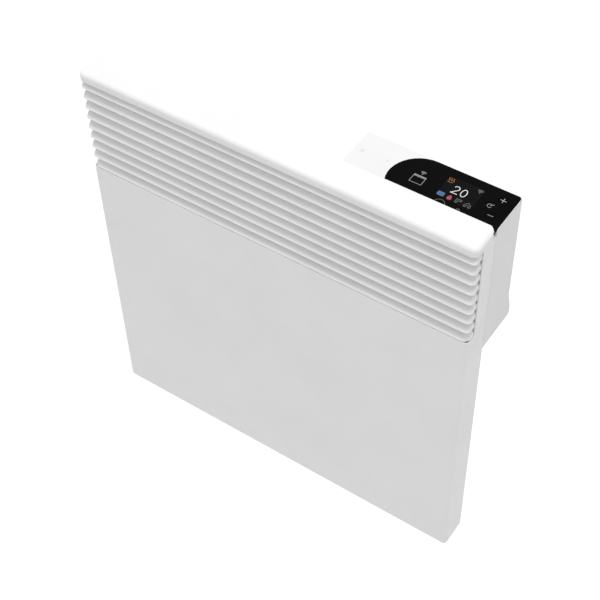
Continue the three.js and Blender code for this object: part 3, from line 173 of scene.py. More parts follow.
def bump(tree, heights):
    """Stacked bumps; each entry is (texture value, strength, distance in metres)."""
    normal = None
    for value, strength, distance in heights:
        node = tree.nodes.new("ShaderNodeBump")
        socket(node, "Strength", strength)
        socket(node, "Distance", distance)
        tree.links.new(value, node.inputs["Height"])
        if normal:
            tree.links.new(normal, node.inputs["Normal"])
        normal = node.outputs["Normal"]
    return normal


# ------------------------------------------------------------------ materials
def surface(name, tones, tone_scale, rough, rough_scale, bumps, metallic=0.0, specular=0.5,
            stretch=None):
    """A finish whose colour, roughness and relief all vary. Scales are per metre, and each bump
    is (scale, strength, distance in metres)."""
    material, tree, shader, place = new_material(name)
    if stretch:
        place = stretched(tree, place, stretch)
    tone = noise(tree, place, tone_scale, detail=3.0, roughness=0.55)
    tree.links.new(two_tone(tree, tone, *tones), shader.inputs["Base Color"])
    gloss = noise(tree, place, rough_scale)
    tree.links.new(spread(tree, gloss, *rough), shader.inputs["Roughness"])
    relief = [(noise(tree, place, scale), strength, distance)
              for scale, strength, distance in bumps]
    tree.links.new(bump(tree, relief), shader.inputs["Normal"])
    socket(shader, "Metallic", metallic)
    socket(shader, "Specular IOR Level", specular)
    return material


def powder_white():
    """Powder coat: a fine orange peel with grain in it."""
    return surface(
        "powder_white", tones=((0.69, 0.69, 0.688), (0.715, 0.715, 0.713)), tone_scale=14.0,
        rough=(0.42, 0.54), rough_scale=90.0, specular=0.3,
        bumps=[(650.0, 0.12, 0.00012), (2600.0, 0.1, 0.00003)])


def plastic_white():
    return surface(
        "plastic_white", tones=((0.65, 0.65, 0.647), (0.675, 0.675, 0.672)), tone_scale=18.0,
        rough=(0.45, 0.58), rough_scale=120.0, specular=0.3,
        bumps=[(1700.0, 0.2, 0.00004), (4200.0, 0.12, 0.00002)])


def gloss_black():
    return surface(
        "gloss_black", tones=((0.0012, 0.0012, 0.0013), (0.0018, 0.0018, 0.002)),
        tone_scale=30.0, rough=(0.05, 0.1), rough_scale=35.0, specular=0.03,
        bumps=[(60.0, 0.03, 0.00005)])


def screen():
    return surface(
        "screen", tones=((0.0035, 0.0036, 0.004), (0.0048, 0.005, 0.0054)), tone_scale=160.0,
        rough=(0.08, 0.13), rough_scale=50.0, specular=0.03, bumps=[(80.0, 0.03, 0.00004)])


def plastic_black():
    return surface(
        "plastic_black", tones=((0.02, 0.02, 0.021), (0.032, 0.032, 0.034)), tone_scale=60.0,
        rough=(0.42, 0.58), rough_scale=150.0, bumps=[(1500.0, 0.25, 0.00005)])


def aluminium():
    """Rolled sheet, so its grain is drawn out along x."""
    return surface(
        "aluminium", tones=((0.62, 0.63, 0.64), (0.78, 0.79, 0.8)), tone_scale=60.0,
        rough=(0.28, 0.42), rough_scale=200.0, bumps=[(500.0, 0.15, 0.00006)],
        metallic=1.0, stretch=(0.04, 1, 1))


def spring_steel():
    return surface(
        "spring_steel", tones=((0.42, 0.43, 0.45), (0.56, 0.57, 0.59)), tone_scale=120.0,
        rough=(0.2, 0.34), rough_scale=200.0, bumps=[(900.0, 0.1, 0.00004)],
        metallic=1.0, stretch=(0.15, 1, 1))


def ceramic():
    return surface(
        "ceramic", tones=((0.68, 0.63, 0.54), (0.82, 0.78, 0.7)), tone_scale=300.0,
        rough=(0.5, 0.75), rough_scale=400.0, bumps=[(1400.0, 0.3, 0.0001)])


def lead_grey():
    return surface(
        "lead_grey", tones=((0.27, 0.27, 0.28), (0.38, 0.38, 0.39)), tone_scale=250.0,
        rough=(0.5, 0.65), rough_scale=300.0, bumps=[(1500.0, 0.2, 0.00005)])


def mark_grey():
    return surface(
        "mark_grey", tones=((0.42, 0.42, 0.42), (0.5, 0.5, 0.5)), tone_scale=200.0,
        rough=(0.5, 0.6), rough_scale=200.0, specular=0.3, bumps=[(900.0, 0.1, 0.00003)])


def galvanised():
    """Zinc-plated sheet: flat crystals of slightly different tone and gloss."""
    material, tree, shader, place = new_material("galvanised")
    flakes = tree.nodes.new("ShaderNodeTexVoronoi")
    socket(flakes, "Scale", 210.0)
    tree.links.new(place, flakes.inputs["Vector"])
    split = tree.nodes.new("ShaderNodeSeparateColor")
    tree.links.new(flakes.outputs["Color"], split.inputs["Color"])
    tone = two_tone(
        tree, split.outputs["Red"], dark=(0.5, 0.52, 0.53), light=(0.68, 0.7, 0.71))
    tree.links.new(tone, shader.inputs["Base Color"])
    rough = spread(tree, split.outputs["Green"], low=0.3, high=0.48)
    tree.links.new(rough, shader.inputs["Roughness"])
    relief = bump(tree, [(noise(tree, place, 700.0), 0.12, 0.00008)])
    tree.links.new(relief, shader.inputs["Normal"])
    socket(shader, "Metallic", 1.0)
    return material


def board_green():
    """Circuit board laminate: solder mask over a fine grid of tracks."""
    material, tree, shader, place = new_material("board_green")
    tracks = tree.nodes.new("ShaderNodeTexBrick")
    socket(tracks, "Scale", 260.0)
    socket(tracks, "Mortar Size", 0.06)
    socket(tracks, "Color1", (0.03, 0.17, 0.07, 1))
    socket(tracks, "Color2", (0.036, 0.2, 0.085, 1))
    socket(tracks, "Mortar", (0.07, 0.3, 0.13, 1))
    tree.links.new(place, tracks.inputs["Vector"])
    tree.links.new(tracks.outputs["Color"], shader.inputs["Base Color"])
    rough = spread(tree, noise(tree, place, 300.0), low=0.3, high=0.42)
    tree.links.new(rough, shader.inputs["Roughness"])
    relief = bump(tree, [(tracks.outputs["Fac"], 0.2, 0.00005)])
    tree.links.new(relief, shader.inputs["Normal"])
    return material


def make_materials():
    makers = (powder_white, plastic_white, gloss_black, screen, plastic_black, aluminium,
              spring_steel, ceramic, lead_grey, mark_grey, galvanised, board_green)
    return {make.__name__: make() for make in makers}


# The light of a symbol varies a little, as light through a printed mask does.
GLOW_DIP = 0.86
GLOW_SCALE = 900.0
MASK_COLOUR = (0.01, 0.01, 0.01, 1)
MASK_ROUGHNESS = 0.4


def glowing(name, colour, strength):
    material, tree, shader, place = new_material(name)
    dim = tuple(c * GLOW_DIP for c in colour)
    light = two_tone(tree, noise(tree, place, GLOW_SCALE), dim, colour)
    tree.links.new(light, shader.inputs["Emission Color"])
    socket(shader, "Emission Strength", strength)
    socket(shader, "Base Color", MASK_COLOUR)
    socket(shader, "Roughness", MASK_ROUGHNESS)
    return material


# ------------------------------------------------------------------ pieces
SMOOTH_BELOW = 32.0


def add_piece(name, bm, material, body, smooth_below=SMOOTH_BELOW):
    """A finished mesh that rides on a body. Edges that turn by fewer degrees than smooth_below
    are shaded smooth."""
    bmesh.ops.recalc_face_normals(bm, faces=bm.faces)
    for face in bm.faces:
        face.smooth = True
    mesh = bpy.data.meshes.new(name)
    bm.to_mesh(mesh)
    bm.free()
    mesh.set_sharp_from_angle(angle=math.radians(smooth_below))
    mesh.materials.append(material)
    piece = bpy.data.objects.new(name, mesh)
    bpy.context.scene.collection.objects.link(piece)
    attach(piece, body)
    return piece


# How a CAD node is refined: the distance that joins its corners, in metres, the turn in degrees
# up to which its facets are one flat face, and the turn from which an edge is rounded.
WELD = 2e-6
FLAT_WITHIN = 0.6
ROUND_FROM = 25.0
ROUND_SEGMENTS = 2


def refined(node, material, radius):
    """The CAD node again, with its faces merged and its sharp edges rounded off."""
    bm = bmesh.new()
    bm.from_mesh(frame["nodes"][node].data)
    bmesh.ops.remove_doubles(bm, verts=bm.verts, dist=WELD)
    bmesh.ops.dissolve_limit(
        bm, angle_limit=math.radians(FLAT_WITHIN), verts=bm.verts, edges=bm.edges,
        use_dissolve_boundaries=False)
    edges = [e for e in bm.edges
             if len(e.link_faces) == 2 and e.calc_face_angle(0.0) > math.radians(ROUND_FROM)]
    bmesh.ops.bevel(
        bm, geom=edges, offset=radius * MM, offset_type="OFFSET", segments=ROUND_SEGMENTS,
        profile=0.5, affect="EDGES", clamp_overlap=True)
    piece = add_piece(
        node + "_finish", bm, material, frame["nodes"][node]["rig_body"])
    piece.modifiers.new("flat_faces", "WEIGHTED_NORMAL").keep_sharp = True
    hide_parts(node)


# ------------------------------------------------------------------ outlines, slabs and strokes
MITRE_LIMIT = 0.35


def arc(x, y, radius, start, end, steps):
    """Points on a circle from start to end degrees."""
    turns = [math.radians(start + (end - start) * k / steps) for k in range(steps + 1)]
    return [(x + radius * math.cos(turn), y + radius * math.sin(turn)) for turn in turns]


def disc(x, y, radius, corners=12):
    return arc(x, y, radius, start=0, end=360 - 360 / corners, steps=corners - 1)


def oval(x, y, half_width, half_height, corners):
    turns = [2 * math.pi * k / corners for k in range(corners)]
    return [(x + half_width * math.cos(a), y + half_height * math.sin(a)) for a in turns]


def rectangle(x0, x1, y0, y1):
    return [(x0, y0), (x1, y0), (x1, y1), (x0, y1)]


def rounded(x0, x1, y0, y1, radius, steps=4):
    """A rectangle with round corners, anticlockwise."""
    centres = ((x1 - radius, y1 - radius), (x0 + radius, y1 - radius),
               (x0 + radius, y0 + radius), (x1 - radius, y0 + radius))
    outline = []
    for quarter, (x, y) in enumerate(centres):
        outline += arc(x, y, radius, start=90 * quarter, end=90 * quarter + 90, steps=steps)
    return outline


def moved(place, outline):
    """An outline drawn round (0, 0), put at a place."""
    return [(place[0] + x, place[1] + y) for x, y in outline]


def height_at(height):
    """A height, or a function of (x, y) that gives one, as such a function."""
    return height if callable(height) else lambda x, y: height


def loft(bm, rings, closed=False):
    """A skin over rings of corners, with end faces unless the last ring joins the first."""
    following = rings[1:] + rings[:1] if closed else rings[1:]
    for ring, after in zip(rings, following):
        for i in range(len(ring)):
            k = (i + 1) % len(ring)
            bm.faces.new((ring[i], ring[k], after[k], after[i]))
    if not closed:
        bm.faces.new(rings[0])
        bm.faces.new(list(reversed(rings[-1])))


def slab(bm, outline, low, high):
    """A flat shape with an outline of (x, y) from low to high; heights may be functions."""
    low_at, high_at = height_at(low), height_at(high)
    bottom = [bm.verts.new(at(x, y, low_at(x, y))) for x, y in outline]
    top = [bm.verts.new(at(x, y, high_at(x, y))) for x, y in outline]
    loft(bm, [top, bottom])


def stroke_edges(path, width, closed):
    """The left and right edge points of a stroke of even width, with square mitres."""
    points = [Vector(p) for p in path]
    last = len(points) - 1
    edges = []
    for i, p in enumerate(points):
        before = points[i - 1] if closed or i > 0 else p
        after = points[(i + 1) % len(points)] if closed or i < last else p
        arriving = (p - before).normalized() if before != p else (after - p).normalized()
        leaving = (after - p).normalized() if after != p else arriving
        along = (arriving + leaving).normalized()
        side = Vector((-along.y, along.x))
        straight = side.dot(Vector((-arriving.y, arriving.x)))
        reach = width / 2 / max(MITRE_LIMIT, straight)
        edges.append((p + side * reach, p - side * reach))
    return edges


def ribbon(bm, path, width, low, high, closed=False):
    """A stroke along a path of (x, y), from low to high; heights may be functions."""
    low_at, high_at = height_at(low), height_at(high)
    rings = []
    for left, right in stroke_edges(path, width, closed):
        corners = ((left, low_at), (right, low_at), (right, high_at), (left, high_at))
        rings.append([bm.verts.new(at(p.x, p.y, level(p.x, p.y))) for p, level in corners])
    loft(bm, rings, closed)


# ------------------------------------------------------------------ the louvres
BLADES = sorted(name for name in frame["nodes"] if name.startswith("louvre_blade_"))
BLADE_LOW, BLADE_HIGH = drawn_box(BLADES[0])
BLADE_INSET = BLADE_LOW[1]
BLADE_REAR = BLADE_HIGH[1]
FIRST_LIP = BLADE_LOW[2]
LAST_LIP = drawn_box(BLADES[-1])[0][2]
BLADE_PITCH = (FIRST_LIP - LAST_LIP) / (len(BLADES) - 1)
BLADE_THICKNESS = 1.4
# The outer face as a cubic curve of depth behind the lip against height above it.
BLADE_CURVE = ((0.0, BLADE_THICKNESS / 2), (1.9, 3.2), (5.2, 7.2), (8.6, 11.0))
BLADE_STEPS = 14
TANGENT_STEP = 0.01
HEEL_ROOM = 0.4
LIP_STEPS = 8
BLADE_SMOOTH_BELOW = 40.0
# The plan: round front corners that tighten with depth, and sides that lean in less than the
# front does.
BLADE_SIDE_INSET = 0.4
BLADE_SIDE_BEND = 0.075
BLADE_WING_TAPER = 1.0
BLADE_CORNER = 4.4
LAST_BLADE_CORNER = 7.5
BLADE_CORNER_SHRINK = 0.6
BLADE_TIGHTEST = 1.6
BLADE_CORNER_STEPS = 12


def curve_point(t):
    shares = ((1 - t) ** 3, 3 * t * (1 - t) ** 2, 3 * t * t * (1 - t), t ** 3)
    return sum((Vector(p) * share for p, share in zip(BLADE_CURVE, shares)), Vector((0.0, 0.0)))


def curve_direction(t):
    after = curve_point(min(1, t + TANGENT_STEP))
    return (after - curve_point(max(0, t - TANGENT_STEP))).normalized()


def blade_section():
    """The blade on its edge: outer face, heel, underside and round lip, as depth and height."""
    outer, inner = [], []
    for k in range(BLADE_STEPS + 1):
        along = curve_direction(k / BLADE_STEPS)
        outer.append(curve_point(k / BLADE_STEPS))
        inner.append(outer[-1] + Vector((along.y, -along.x)) * BLADE_THICKNESS)
    depth, rise = BLADE_CURVE[-1]
    heel = Vector((depth, rise - BLADE_THICKNESS / curve_direction(1).x))
    under = [p for p in inner if p.x < depth - HEEL_ROOM]
    centre = (outer[0] + inner[0]) / 2
    lip = [centre + Matrix.Rotation(-math.pi * k / LIP_STEPS, 2) @ (inner[0] - centre)
           for k in range(1, LIP_STEPS)]
    return outer + [heel] + list(reversed(under)) + lip


def blade_path(depth, corner):
    """A blade's path in plan at a depth behind its lip, from its left end round the front to
    its right end."""
    front = BLADE_INSET + depth
    half = HALF_WIDTH - BLADE_SIDE_INSET - BLADE_SIDE_BEND * depth ** 2
    radius = max(BLADE_TIGHTEST, corner - BLADE_CORNER_SHRINK * depth)
    centre = half - radius
    left = arc(-centre, front + radius, radius, start=180, end=270, steps=BLADE_CORNER_STEPS)
    right = arc(centre, front + radius, radius, start=270, end=360, steps=BLADE_CORNER_STEPS)
    end = half - BLADE_WING_TAPER
    return [(-end, BLADE_REAR)] + left + right + [(end, BLADE_REAR)]


def blade(node, lip, corner, material):
    """A blade with its lip at a height, bent round both front corners."""
    bm = bmesh.new()
    section = blade_section()
    paths = [blade_path(p.x, corner) for p in section]
    rings = [[bm.verts.new(at(*place, lip + p.y)) for place, p in zip(places, section)]
             for places in zip(*paths)]
    loft(bm, rings)
    piece = add_piece(
        node + "_finish", bm, material, "heater", BLADE_SMOOTH_BELOW)
    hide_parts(node)


def blades(material):
    for index, node in enumerate(BLADES):
        corner = LAST_BLADE_CORNER if node == BLADES[-1] else BLADE_CORNER
        blade(node, FIRST_LIP - index * BLADE_PITCH, corner, material)


# ------------------------------------------------------------------ edges only seen here, and painted shade behind the cap's corner
BAY_EDGE_X = (205.0, 211.6)
BAY_EDGE_Y = (13.4, 14.6)
BAY_EDGE_Z = (331.7, 440.5)
BAY_EDGE_RADIUS = 0.5

FACE = drawn_box("control_panel")[1][2]
PANEL_FRONT = 34.0
# A black slab in the gap behind the cap's round rear corner, which paints the shade of that gap
# in the panel's black.
GAP_SHADE_CENTRE = (206.8, 26.3)
GAP_SHADE_RADIUS = 6.15
GAP_SHADE_STEPS = 8
GAP_SHADE_DEPTH = 1.2
GAP_SHADE_SINK = 0.05


def bay_edge(name, side, material):
    """The folded edge of the cover's side that the blade ends pass in front of."""
    outline = [(side * x, y) for x, y in rounded(*BAY_EDGE_X, *BAY_EDGE_Y, BAY_EDGE_RADIUS)]
    bm = bmesh.new()
    slab(bm, outline, *BAY_EDGE_Z)
    add_piece(name, bm, material, "heater")


def painted_gap_shade(material):
    """A gloss black slab that fills the space behind the cap's round rear corner. It is partly
    the black panel's edge and partly painted shade: the gap would show the lid's white front wall
    in shadow, and it is made black instead.
    """
    x, y = GAP_SHADE_CENTRE
    outline = arc(x, y, GAP_SHADE_RADIUS, start=0, end=90, steps=GAP_SHADE_STEPS)
    outline += [(x, PANEL_FRONT), (x + GAP_SHADE_RADIUS, PANEL_FRONT)]
    bm = bmesh.new()
    slab(bm, outline, FACE - GAP_SHADE_DEPTH, FACE - GAP_SHADE_SINK)
    add_piece("painted_gap_shade", bm, material, "heater")


# ------------------------------------------------------------------ the display's symbols
# A symbol is a thin layer, half of it above the face that it is printed on.
INK = 0.04
ON_FACE = (FACE - INK, FACE + INK)

FIGURE_FOOT = 51.0
FIGURE_HALF_WIDTH = 2.45
FIGURE_STROKE = 0.78
TWO_BOW = (161.0, 57.5)
TWO_DIAGONAL_LEFT = 2.7
TWO_FOOT_LEFT = 3.3
TWO_FOOT_RIGHT = 3.2
ZERO_CENTRE = (168.7, 55.4)
ZERO_HALF_HEIGHT = 4.5


def figures(bm):
    """A setting in whole degrees: a two and a zero."""
    x, y = TWO_BOW
    bow = arc(x, y, FIGURE_HALF_WIDTH, start=165, end=-25, steps=12)
    ribbon(bm, bow + [(x - TWO_DIAGONAL_LEFT, FIGURE_FOOT)], FIGURE_STROKE, *ON_FACE)
    foot = [(x - TWO_FOOT_LEFT, FIGURE_FOOT), (x + TWO_FOOT_RIGHT, FIGURE_FOOT)]
    ribbon(bm, foot, FIGURE_STROKE, *ON_FACE)
    zero = oval(*ZERO_CENTRE, FIGURE_HALF_WIDTH, ZERO_HALF_HEIGHT, corners=28)
    ribbon(bm, zero, FIGURE_STROKE, *ON_FACE, closed=True)


HEAT_PLACE = (151.8, 62.8)
HEAT_SPACING = 2.1
HEAT_SWING = 0.55
HEAT_HEIGHT = 3.6
HEAT_STROKE = 0.5
HEAT_BASE_RISE = 3.2
HEAT_BASE_RADIUS = 5.0
HEAT_BASE_STROKE = 0.4
HEAT_STEPS = 8


def heat(bm):
    """Three rising waves over a bowed line."""
    x, y = HEAT_PLACE
    for offset in (-HEAT_SPACING, 0.0, HEAT_SPACING):
        shares = [k / HEAT_STEPS for k in range(HEAT_STEPS + 1)]
        wave = [(x + offset + HEAT_SWING * math.sin(2 * math.pi * share), y + HEAT_HEIGHT * share)
                for share in shares]
        ribbon(bm, wave, HEAT_STROKE, *ON_FACE)
    base = arc(
        x, y + HEAT_BASE_RISE, HEAT_BASE_RADIUS, start=238, end=302, steps=HEAT_STEPS)
    ribbon(bm, base, HEAT_BASE_STROKE, *ON_FACE)


CARD_PLACE = (152.2, 44.9)
CARD_HALF_WIDTH = 3.2
CARD_HALF_HEIGHT = 2.4
CARD_RADIUS = 1.0
CARD_MARK_PLACE = (152.4, 44.9)
CARD_MARK_HALF_WIDTH = 1.4
CARD_MARK_HALF_HEIGHT = 0.7
CARD_MARK_STROKE = 0.5
CARD_MARK_SINK = 0.01
CARD_MARK_RISE = 0.03


def card(bm):
    x, y = CARD_PLACE
    slab(bm, rounded(x - CARD_HALF_WIDTH, x + CARD_HALF_WIDTH, y - CARD_HALF_HEIGHT,
                     y + CARD_HALF_HEIGHT, CARD_RADIUS), *ON_FACE)


def card_mark(bm):
    """A small frame, printed on the card."""
    half_x, half_y = CARD_MARK_HALF_WIDTH, CARD_MARK_HALF_HEIGHT
    path = moved(CARD_MARK_PLACE, rectangle(-half_x, half_x, -half_y, half_y))
    top = FACE + INK
    ribbon(bm, path, CARD_MARK_STROKE, top - CARD_MARK_SINK, top + CARD_MARK_RISE, closed=True)


DROP_PLACE = (160.7, 44.4)
DROP_HALF_WIDTH = 2.1
DROP_HALF_HEIGHT = 2.6
DROP_NARROWING = 0.28
DROP_TIP = 0.7
DROP_TIP_FROM = 0.9
DROP_CORNERS = 20


def drop(bm):
    """An oval that narrows upwards to a raised tip."""
    outline = []
    for k in range(DROP_CORNERS):
        turn = 2 * math.pi * k / DROP_CORNERS
        height = math.sin(turn)
        tip = DROP_TIP if height > DROP_TIP_FROM else 0.0
        outline.append((DROP_HALF_WIDTH * math.cos(turn) * (1 - DROP_NARROWING * height),
                        DROP_HALF_HEIGHT * height + tip))
    slab(bm, moved(DROP_PLACE, outline), *ON_FACE)


SHUTTER_PLACE = (166.8, 42.4)
SHUTTER_WIDTH = 4.8
SHUTTER_HEIGHT = 4.5
SHUTTER_EDGE_DEPTH = 1.5
SHUTTER_FOLD = (1.8, 2.6)
SIGN_STROKE = 0.6


def shutter(bm):
    """An angle that opens down to the right."""
    inner_top = SHUTTER_HEIGHT - SHUTTER_EDGE_DEPTH
    outline = [(0, 0), (0, SHUTTER_HEIGHT), (SHUTTER_WIDTH, SHUTTER_HEIGHT),
               (SHUTTER_WIDTH, inner_top), SHUTTER_FOLD, (SHUTTER_EDGE_DEPTH, 0)]
    ribbon(bm, moved(SHUTTER_PLACE, outline), SIGN_STROKE, *ON_FACE, closed=True)


HOUSE_PLACE = (178.2, 42.0)
HOUSE_HALF_WIDTH = 2.8
HOUSE_EAVES = 2.6
HOUSE_RIDGE = 5.2
DOOR_HALF_WIDTH = 1.2
DOOR_HEIGHT = 2.0


def house(bm):
    outline = [(-HOUSE_HALF_WIDTH, 0), (-HOUSE_HALF_WIDTH, HOUSE_EAVES), (0, HOUSE_RIDGE),
               (HOUSE_HALF_WIDTH, HOUSE_EAVES), (HOUSE_HALF_WIDTH, 0), (DOOR_HALF_WIDTH, 0),
               (DOOR_HALF_WIDTH, DOOR_HEIGHT), (-DOOR_HALF_WIDTH, DOOR_HEIGHT),
               (-DOOR_HALF_WIDTH, 0)]
    ribbon(bm, moved(HOUSE_PLACE, outline), SIGN_STROKE, *ON_FACE, closed=True)


# The radii and the stroke, as shares of a signal's size, and each signal's x, y and size.
SIGNAL_ARCS = (0.42, 0.74, 1.06)
SIGNAL_STROKE = 0.17
SIGNAL_DOT = 0.16
SCREEN_SIGNAL = (179.4, 62.9, 3.6)
PANEL_SIGNAL = (127.2, 56.6, 3.4)


def signal(bm, x, y, size):
    """Three arcs over a dot, pointing up."""
    for share in SIGNAL_ARCS:
        path = arc(x, y, size * share, start=45, end=135, steps=8)
        ribbon(bm, path, size * SIGNAL_STROKE, *ON_FACE)
    slab(bm, disc(x, y, size * SIGNAL_DOT), *ON_FACE)


def screen_signal(bm):
    signal(bm, *SCREEN_SIGNAL)


def panel_signal(bm):
    signal(bm, *PANEL_SIGNAL)


WINDOW_X = (121.1, 132.6)
WINDOW_Y = (44.3, 54.2)
WINDOW_STROKE = 0.55
WINDOW_BAR_X = (121.4, 132.3)
WINDOW_BAR_Y = (52.2, 53.9)


def window(bm):
    ribbon(bm, rectangle(*WINDOW_X, *WINDOW_Y), WINDOW_STROKE, *ON_FACE, closed=True)


def window_bar(bm):
    slab(bm, rectangle(*WINDOW_BAR_X, *WINDOW_BAR_Y), *ON_FACE)


# Each ring's x, y and radius.
HALF_RING = (156.6, 33.9, 4.9)
HALF_RING_STROKE = 0.5
SMALL_RING = (174.0, 35.4, 1.3)
SMALL_RING_STROKE = 0.35


def half_ring(bm):
    ribbon(bm, arc(*HALF_RING, start=2, end=178, steps=18), HALF_RING_STROKE, *ON_FACE)


def small_ring(bm):
    ribbon(bm, arc(*SMALL_RING, start=-30, end=210, steps=16), SMALL_RING_STROKE, *ON_FACE)


# Each symbol's piece, colour, strength of light and drawing.
SYMBOLS = (
    ("display_figures", (0.93, 0.93, 0.93), 0.9, figures),
    ("symbol_heat", (0.5, 0.2, 0.02), 0.9, heat),
    ("symbol_card", (0.06, 0.17, 0.38), 0.95, card),
    ("symbol_card_mark", (0.02, 0.06, 0.16), 0.6, card_mark),
    ("symbol_drop", (0.44, 0.045, 0.08), 0.95, drop),
    ("symbol_signal", (0.1, 0.16, 0.24), 0.95, screen_signal),
    ("symbol_shutter", (0.13, 0.13, 0.13), 0.95, shutter),
    ("symbol_house", (0.11, 0.11, 0.11), 0.95, house),
    ("mark_window", (0.3, 0.3, 0.3), 0.95, window),
    ("mark_window_bar", (0.24, 0.24, 0.24), 0.95, window_bar),
    ("mark_window_signal", (0.3, 0.3, 0.3), 0.95, panel_signal),
    ("mark_ring", (0.15, 0.13, 0.08), 0.9, half_ring),
    ("mark_small_ring", (0.34, 0.34, 0.34), 0.9, small_ring),
)


def symbol_piece(name, colour, strength, draw, body="heater"):
    bm = bmesh.new()
    draw(bm)
    add_piece(name, bm, glowing(name, colour, strength), body)


def display_symbols():
    for row in SYMBOLS:
        symbol_piece(*row)


# ------------------------------------------------------------------ the keys' marks
KEY_DISH = 0.25
KEY_DISH_RADIUS = 4.3
PLUS_REACH = 2.9
MINUS_REACH = 2.7
MARK_HALF_STROKE = 0.22
MODE_RING_PLACE = (-0.5, -0.3)
MODE_RING_RADIUS = 2.2
MODE_RING_STROKE = 0.4
MODE_HAND = ((-0.3, -0.1), (1.2, 1.4), (2.6, 2.6))
MODE_HAND_STROKE = 0.45


def key_centre(name):
    low, high = drawn_box("key_" + name)
    return ((low[0] + high[0]) / 2, (low[1] + high[1]) / 2)


def in_dish(centre):
    """The lower and upper heights of ink that follows a key's dished top, as functions."""
    def upper(x, y):
        nearness = 1 - math.dist((x, y), centre) / KEY_DISH_RADIUS
        return FACE - KEY_DISH * max(0.0, nearness) + INK

    def lower(x, y):
        return upper(x, y) - 2 * INK

    return lower, upper


def plus_mark(bm):
    centre = key_centre("plus")
    half = MARK_HALF_STROKE
    quarter = [(half, half), (half, PLUS_REACH), (-half, PLUS_REACH)]
    outline = []
    for _ in range(4):
        outline += quarter
        quarter = [(-y, x) for x, y in quarter]
    slab(bm, moved(centre, outline), *in_dish(centre))


def minus_mark(bm):
    """A dash with a middle point on each side, so that it can follow the dish."""
    centre = key_centre("minus")
    half = MARK_HALF_STROKE
    outline = [(-MINUS_REACH, -half), (0, -half), (MINUS_REACH, -half),
               (MINUS_REACH, half), (0, half), (-MINUS_REACH, half)]
    slab(bm, moved(centre, outline), *in_dish(centre))


def mode_mark(bm):
    """An open ring with a hand that points out of it."""
    centre = key_centre("mode")
    ring = arc(*MODE_RING_PLACE, MODE_RING_RADIUS, start=60, end=330, steps=18)
    ribbon(bm, moved(centre, ring), MODE_RING_STROKE, *in_dish(centre))
    ribbon(bm, moved(centre, MODE_HAND), MODE_HAND_STROKE, *in_dish(centre))


# Each mark's piece, colour, strength of light, drawing and body.
KEY_MARKS = (
    ("mark_plus", (0.62, 0.62, 0.62), 0.95, plus_mark, "plus_key"),
    ("mark_mode", (0.45, 0.45, 0.45), 0.95, mode_mark, "mode_key"),
    ("mark_minus", (0.45, 0.45, 0.45), 0.95, minus_mark, "minus_key"),
)


def key_marks():
    for row in KEY_MARKS:
        symbol_piece(*row)


# ------------------------------------------------------------------ the lid's marks
LID_TOP = drawn_box("control_box_lid")[1][2]
# The ring's x, y and radius.
LID_RING = (67.6, 54.6, 1.5)
LID_RING_STROKE = 0.35
LID_DOT_RADIUS = 0.55
LID_STROKE = ((91.9, 53.6), (93.9, 57.0))
LID_STROKE_WIDTH = 0.6


def lid_marks(material):
    """Two small grey marks in the lid: a ring with a dot, and a short slanted stroke."""
    on_lid = (LID_TOP - INK, LID_TOP + INK)
    bm = bmesh.new()
    ribbon(bm, arc(*LID_RING, start=0, end=350, steps=20), LID_RING_STROKE, *on_lid)
    slab(bm, disc(*LID_RING[:2], LID_DOT_RADIUS), *on_lid)
    ribbon(bm, LID_STROKE, LID_STROKE_WIDTH, *on_lid)
    add_piece("lid_marks", bm, material, "heater")


# ------------------------------------------------------------------ light and floor
WORLD_LIGHT = 0.85
SEEN_LIGHT = 1.0
SUN_PLACE = (0.05, -0.25, 2.9)
SUN_STRENGTH = 1.8
SUN_ANGLE = 20.0
FLOOR_SIZE = 6.0
FLOOR_CELLS = 4
FLOOR_HEIGHT = -1.6
FLOOR_TONE = 0.62
FLOOR_ROUGHNESS = 0.9
FLOOR_GLOW = 0.25


def seen_or_reflected(tree):
    """1 for rays from the camera, and for those that a gloss or a glass sends on."""
    paths = tree.nodes.new("ShaderNodeLightPath")
    value = paths.outputs["Is Camera Ray"]
    for name in ("Is Glossy Ray", "Is Transmission Ray"):
        larger = tree.nodes.new("ShaderNodeMath")
        larger.operation = "MAXIMUM"
        tree.links.new(value, larger.inputs[0])
        tree.links.new(paths.outputs[name], larger.inputs[1])
        value = larger.outputs[0]
    return value


def background(tree, strength):
    node = tree.nodes.new("ShaderNodeBackground")
    socket(node, "Color", WHITE)
    socket(node, "Strength", strength)
    return node.outputs[0]


def make_world():
    """Even light from all round, seen as plain white."""
    world = bpy.data.worlds.new("world")
    bpy.context.scene.world = world
    world.use_nodes = True
    tree = world.node_tree
    tree.nodes.clear()
    out = tree.nodes.new("ShaderNodeOutputWorld")
    mix = tree.nodes.new("ShaderNodeMixShader")
    tree.links.new(seen_or_reflected(tree), mix.inputs[0])
    tree.links.new(background(tree, WORLD_LIGHT), mix.inputs[1])
    tree.links.new(background(tree, SEEN_LIGHT), mix.inputs[2])
    tree.links.new(mix.outputs[0], out.inputs[0])


def floor_glow(tree):
    """A little light of its own, for the rays that see the floor."""
    share = tree.nodes.new("ShaderNodeMath")
    share.operation = "MULTIPLY"
    share.inputs[1].default_value = FLOOR_GLOW
    tree.links.new(seen_or_reflected(tree), share.inputs[0])
    glow = tree.nodes.new("ShaderNodeEmission")
    socket(glow, "Color", WHITE)
    tree.links.new(share.outputs[0], glow.inputs["Strength"])
    return glow.outputs[0]


def floor_material():
    material = bpy.data.materials.new("floor")
    material.use_nodes = True
    tree = material.node_tree
    shader = tree.nodes["Principled BSDF"]
    socket(shader, "Base Color", (FLOOR_TONE, FLOOR_TONE, FLOOR_TONE, 1))
    socket(shader, "Roughness", FLOOR_ROUGHNESS)
    socket(shader, "Specular IOR Level", 0.0)
    both = tree.nodes.new("ShaderNodeAddShader")
    tree.links.new(shader.outputs[0], both.inputs[0])
    tree.links.new(floor_glow(tree), both.inputs[1])
    tree.links.new(both.outputs[0], tree.nodes["Material Output"].inputs[0])
    return material


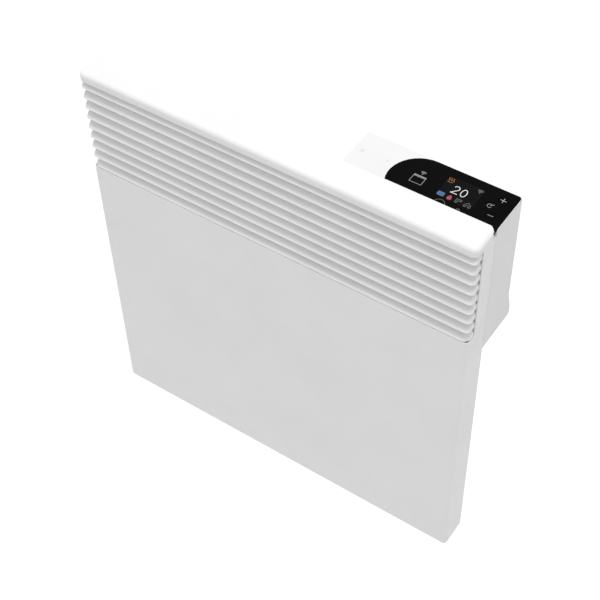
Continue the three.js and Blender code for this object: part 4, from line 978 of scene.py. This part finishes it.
def make_floor():
    bm = bmesh.new()
    bmesh.ops.create_grid(
        bm, x_segments=FLOOR_CELLS, y_segments=FLOOR_CELLS, size=FLOOR_SIZE)
    mesh = bpy.data.meshes.new("floor")
    bm.to_mesh(mesh)
    bm.free()
    mesh.materials.append(floor_material())
    floor = bpy.data.objects.new("floor", mesh)
    floor.location = (0, 0, FLOOR_HEIGHT)
    bpy.context.scene.collection.objects.link(floor)


def make_sun():
    """A wide soft sun that shines from its place towards the object."""
    data = bpy.data.lights.new("key_light", "SUN")
    data.energy = SUN_STRENGTH
    data.angle = math.radians(SUN_ANGLE)
    lamp = bpy.data.objects.new("key_light", data)
    lamp.location = SUN_PLACE
    lamp.rotation_mode = "QUATERNION"
    lamp.rotation_quaternion = (-Vector(SUN_PLACE)).to_track_quat("-Z", "Y")
    bpy.context.scene.collection.objects.link(lamp)


# ------------------------------------------------------------------ the whole
# The radius of a refined edge, in millimetres, by finish. Other finishes keep their CAD edges,
# and so do the heating element's two brackets.
EDGE_RADIUS = {"powder_white": 0.3, "plastic_white": 0.4, "galvanised": 0.25,
               "spring_steel": 0.2, "plastic_black": 0.25, "gloss_black": 0.15, "screen": 0.15}
KEPT_SHARP = ("element_bracket_left", "element_bracket_right")
ROWS = frame["record"]["subparts"]


def give_finishes(finishes):
    for row in ROWS:
        mesh = frame["nodes"][row["node"]].data
        mesh.materials.clear()
        mesh.materials.append(finishes[row["material_slot"]])


def refine_edges(finishes):
    for row in ROWS:
        node, slot = row["node"], row["material_slot"]
        if slot in EDGE_RADIUS and node not in KEPT_SHARP and node not in BLADES:
            refined(node, finishes[slot], EDGE_RADIUS[slot])


make_camera()
finishes = make_materials()
give_finishes(finishes)
blades(finishes["powder_white"])
bay_edge("bay_edge_left", -1, finishes["powder_white"])
bay_edge("bay_edge_right", 1, finishes["powder_white"])
# Painted shade: a black slab in the gap behind the cap's round rear corner.
painted_gap_shade(finishes["gloss_black"])
refine_edges(finishes)
display_symbols()
key_marks()
lid_marks(finishes["mark_grey"])
make_world()
make_floor()
make_sun()
bpy.context.scene.view_settings.view_transform = "Standard"
